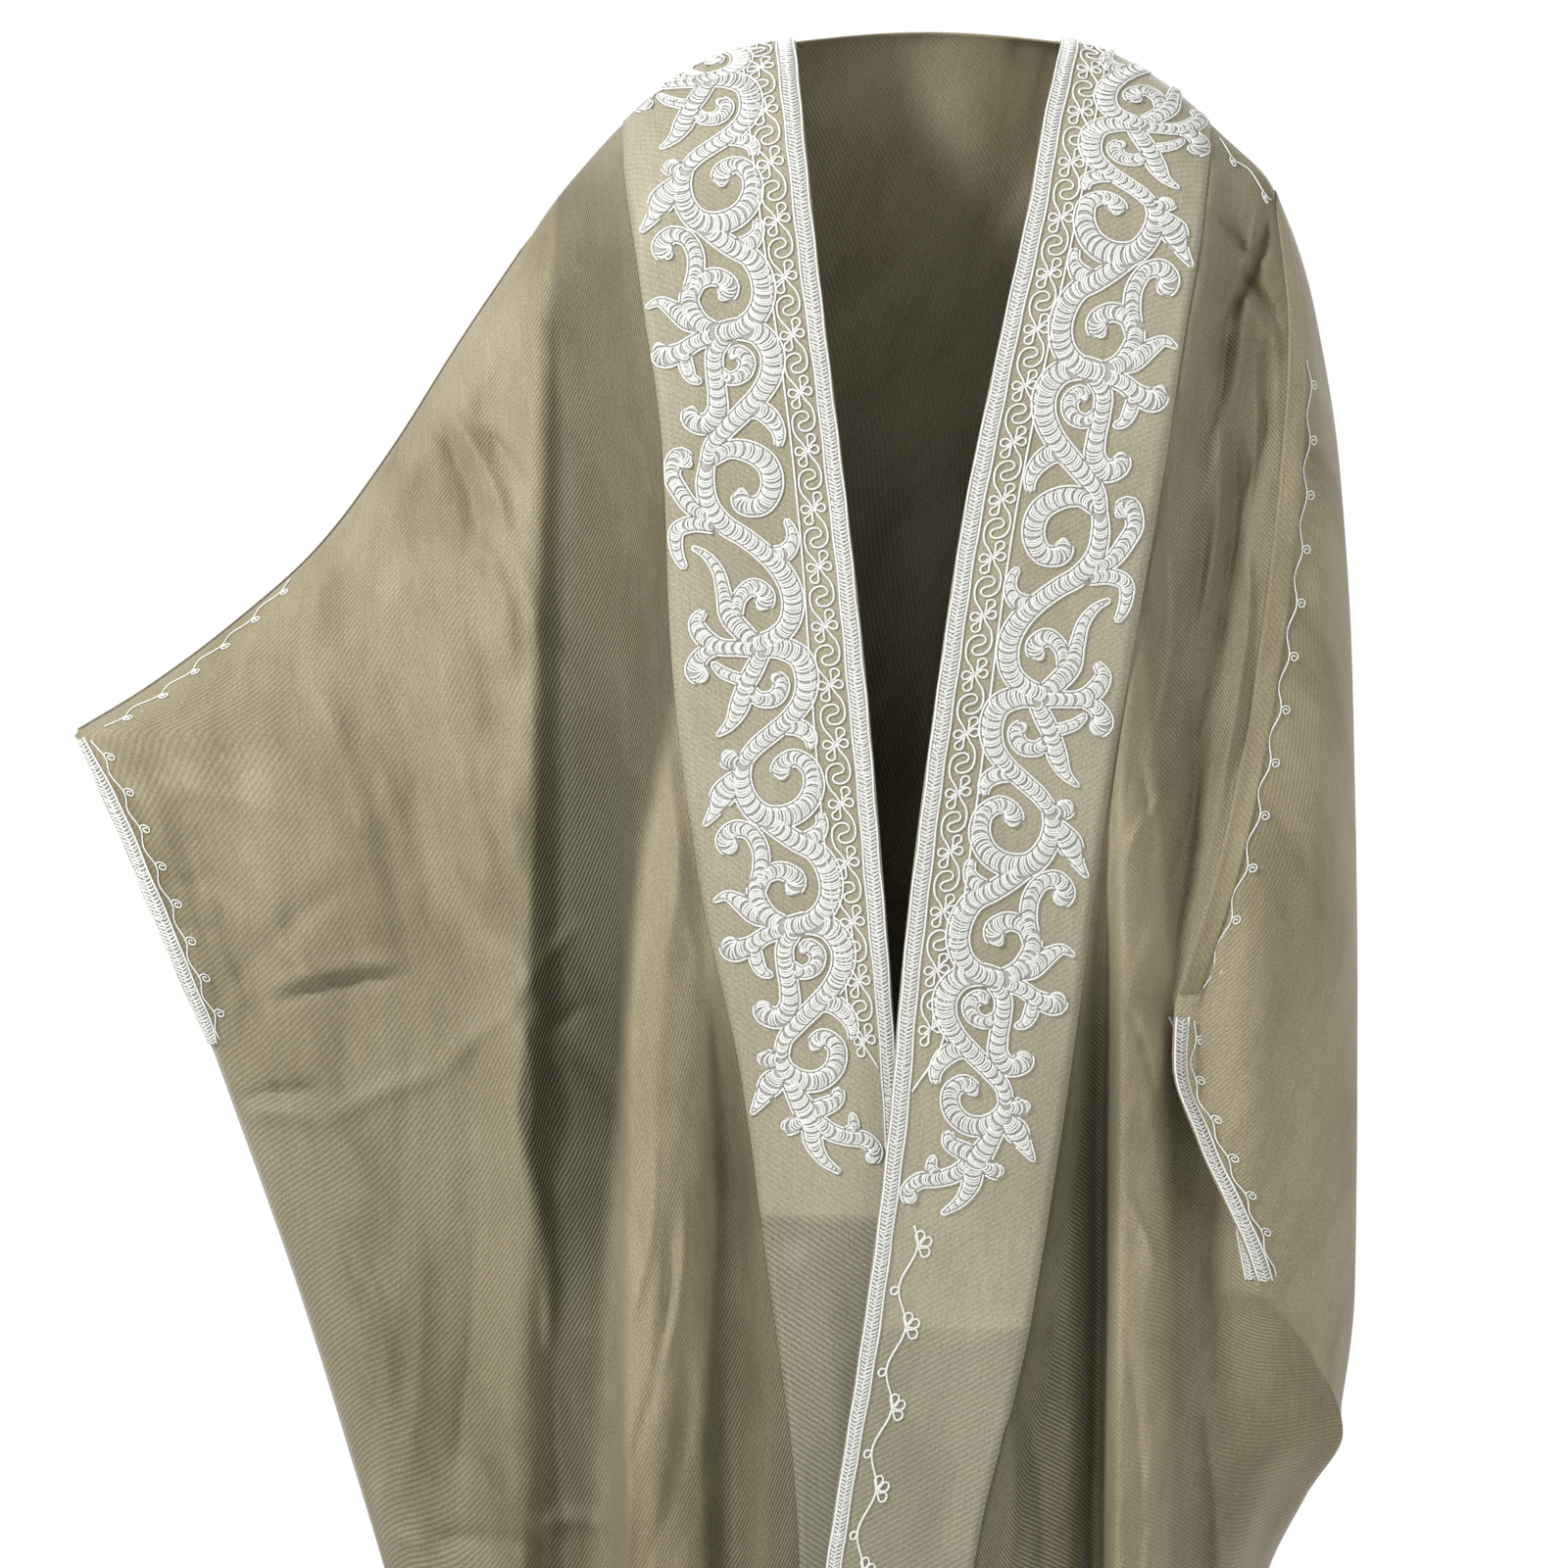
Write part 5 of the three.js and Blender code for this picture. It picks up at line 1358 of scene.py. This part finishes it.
near_right = np.linspace(1, 0.72, 40)
near_left = np.linspace(1, 0.6, 40)
RIGHT_OPEN = np.linspace(RIGHT_CUFF[0] + 3, RIGHT_CUFF[1] - 3, 70)
LEFT_OPEN = np.linspace(LEFT_CUFF[0] + 10, LEFT_CUFF[1] - 8, 70)
LEFT_CUFF_REACH, CUFF_REACH, JOINT_REACH = 24, 40, 44
cuff_cloths = {
    "cuff_braid_right_front": patch(right_front_face, 1, RIGHT_OPEN, near_right, CUFF_REACH),
    "cuff_braid_left_front": patch(left_front_face, -1, LEFT_OPEN, near_left, LEFT_CUFF_REACH),
    "cuff_braid_right_back": patch(back_face, 1, RIGHT_OPEN, -near_right, CUFF_REACH),
    "cuff_braid_left_back": patch(back_face, 1, LEFT_OPEN, near_left, CUFF_REACH),
}


VINE_HEIGHT = 0.7


def vine(cloth, middle, from_v, to_v, pitch, sway, curl):
    """A thin cord that sways out to a small curl at each step. middle is how far out it starts and ends."""
    away = lambda v: np.interp(v, (from_v, to_v), middle) - sway * np.cos(2 * np.pi * (v - from_v) / pitch)
    v = np.arange(from_v, to_v, 2.5)
    parts = [cords(cloth, spun(np.stack([away(v), v], -1), VINE_HEIGHT), THIN_CORD)]
    for at in np.arange(from_v + pitch / 2, to_v - pitch / 4, pitch):
        t = np.linspace(0, 1, 22)
        turn = np.radians(90 + 540 * t)
        radius = curl * mix(1, 0.18, t)
        line = np.stack([away(at) + curl * 0.9 - radius * np.sin(turn), at + radius * np.cos(turn)], -1)
        parts.append(cords(cloth, spun(line, VINE_HEIGHT), THIN_CORD))
    return parts


for name, cloth in cuff_cloths.items():
    length = cloth["rail"][-1]
    worked(name + "_cords", braid(cloth, 0.4, 12.4, 0.5, length - 0.5, 0.2), white_cord, name)
    # The ground under the scallops, grey as painted shade between the cords.
    ground = laid_sheet(name + "_ground", cloth, 1.0, 11.8, 0.5, length - 0.5, 0.5, 5, 60)
    finish_piece(ground, shaded_padding, "thread")
    if name != "cuff_braid_left_front":
        work = vine(cloth, middle=(18, 14.5), from_v=3, to_v=length - 3, pitch=27, sway=1.6, curl=3.8)
        worked(name + "_vine", work, white_cord)

RIGHT_SEAM_RUN = np.linspace(10, RIGHT_CUFF[0] - 1, 130)
LEFT_SEAM_RUN = np.linspace(10, LEFT_CUFF[0] - 4, 160)
joint_cloths = {
    "seam_joint_right": patch(back_face, 1, RIGHT_SEAM_RUN, -near_right, JOINT_REACH),
    "seam_joint_left": patch(back_face, 1, LEFT_SEAM_RUN, near_left, JOINT_REACH),
}
for name, cloth in joint_cloths.items():
    length = cloth["rail"][-1]
    joint = laid_sheet(name + "_cloth", cloth, 0.5, 17, 1, length - 1, 1.3, 9, 160)
    thicken(joint, 0.9)
    finish_piece(joint, olive_twill, "cloth", name)
    # Half of the strip is turned under.
    start = 4 if name == "seam_joint_right" else 110
    work = vine(cloth, middle=(21, 19), from_v=start, to_v=length - 4, pitch=36, sway=2.2, curl=3.8)
    worked(name + "_vine", work, white_cord)


def over_left_shoulder(across, along):
    """The left front, with its rows along the shoulder."""
    return left_front_face(along / 200, across * 30)


# Both seam vines come round to the front: over the left shoulder, and along the last of the right arm.
shoulder_cloth = patch(over_left_shoulder, 1, np.linspace(66, 198, 60), np.linspace(0.02, 1, 24), 60)
wing_cloth = patch(right_front_face, 1, np.linspace(350, RIGHT_CUFF[0] - 1, 60), near_right, 64)
for name, cloth, middle in (("shoulder_vine", shoulder_cloth, (17, 12)), ("wing_vine", wing_cloth, (19, 28))):
    work = vine(cloth, middle, from_v=2, to_v=cloth["rail"][-1] - 3, pitch=28.5, sway=2.5, curl=3.6)
    worked(name, work, white_cord)

# ------------------------------------------------------------- lower left vine
# Below the scrolls a vine of one cord runs down the left band beside the braid. It sways from side to side,
# with three small loops on its outer side at each step, and one on the other side between them.
LOWER_TOP, LOWER_FOOT, LOWER_PITCH = 845.0, band_patch["left"]["rail"][-1] - 12, 54
LOWER_MIDDLE, LOWER_SWAY, LOWER_CORD, LOWER_HEIGHT = 26, 4.5, 0.75, BAND_TOP + 0.5
v = np.arange(LOWER_TOP, LOWER_FOOT, 2.5)
u = LOWER_MIDDLE + LOWER_SWAY * np.sin(2 * np.pi * (v - LOWER_TOP) / LOWER_PITCH)
parts = [cords(band_patch["left"], spun(np.stack([u, v], -1), LOWER_HEIGHT), LOWER_CORD)]
for at in np.arange(LOWER_TOP + 14, LOWER_FOOT - 40, LOWER_PITCH):
    cluster = [(direction, 10.5, 6.2, 30, at) for direction in (150, 205, 260)]
    for direction, reach, width, out, down in cluster + [(30, 6.5, 5.0, 22, at + LOWER_PITCH / 2)]:
        loop = petal(direction, reach, width)
        line = spun(np.stack([out + loop[:, 0], down + loop[:, 1]], -1), LOWER_HEIGHT)
        parts.append(cords(band_patch["left"], line, LOWER_CORD, closed=True))
worked("lower_vine", parts, white_cord)

# --------------------------------------------------------------------- studio
# A plain pale floor, soft light from three sides, and a camera straight in front, six metres away. Each pixel
# is 0.65 mm on the garment. Its neck point, the origin, stands NECK_ACROSS and NECK_DOWN in the frame.
FRAME_PIXELS, NECK_ACROSS, NECK_DOWN = 1600, 948, 35
PIXEL, DISTANCE = 0.65, 6.0
FRAME_WIDTH = FRAME_PIXELS * PIXEL * MM
camera_data = bpy.data.cameras.new("camera")
camera_data.sensor_width = 36
camera_data.lens = 36 * DISTANCE / FRAME_WIDTH
camera = bpy.data.objects.new("camera", camera_data)
middle = FRAME_PIXELS / 2
camera.location = ((middle - NECK_ACROSS) * PIXEL * MM, -0.06 - DISTANCE, -(middle - NECK_DOWN) * PIXEL * MM)
camera.rotation_euler = (math.radians(90), 0, 0)
bpy.context.collection.objects.link(camera)
bpy.context.scene.camera = camera


def soft_light(name, place, target, size, power):
    """A square light at a place, turned towards its target."""
    data = bpy.data.lights.new(name, "AREA")
    data.shape, data.size, data.energy = "SQUARE", size, power
    lamp = bpy.data.objects.new(name, data)
    lamp.location = place
    x, y, z = np.array(target) - np.array(place)
    lamp.rotation_euler = (math.atan2(math.hypot(x, y), -z), 0, math.atan2(y, x) - math.pi / 2)
    bpy.context.collection.objects.link(lamp)


soft_light("key", (-2.3, -2.1, 1.5), (0, 0, -0.6), 0.7, 165)
soft_light("fill", (2.4, -2.8, 0.0), (0, 0, -0.6), 2.4, 28)
soft_light("behind", (0.5, 2.6, 1.0), (0, 0, -0.6), 2.0, 30)

# The cloak hangs as worn, so the floor lies a little below its hem.
FLOOR_GAP = 0.02
floor_mesh = bpy.data.meshes.new("floor")
bm = bmesh.new()
bmesh.ops.create_grid(bm, x_segments=1, y_segments=1, size=2.5)
bm.to_mesh(floor_mesh)
bm.free()
for corner in floor_mesh.vertices:
    corner.co.z = cad_low[2] - FLOOR_GAP
floor = bpy.data.objects.new("floor", floor_mesh)
bpy.context.collection.objects.link(floor)
floor_paint = bpy.data.materials.new("pale_paint")
floor_paint.use_nodes = True
floor_shader = floor_paint.node_tree.nodes["Principled BSDF"]
floor_shader.inputs["Base Color"].default_value = linear("#EDEDEB")
floor_shader.inputs["Roughness"].default_value = 0.9
floor_mesh.materials.append(floor_paint)

world = bpy.data.worlds.new("studio")
bpy.context.scene.world = world
world.use_nodes = True
sky = world.node_tree.nodes["Background"]
sky.inputs["Color"].default_value = (1, 1, 1, 1)
sky.inputs["Strength"].default_value = 1.0

bpy.context.scene.view_settings.view_transform = "Standard"
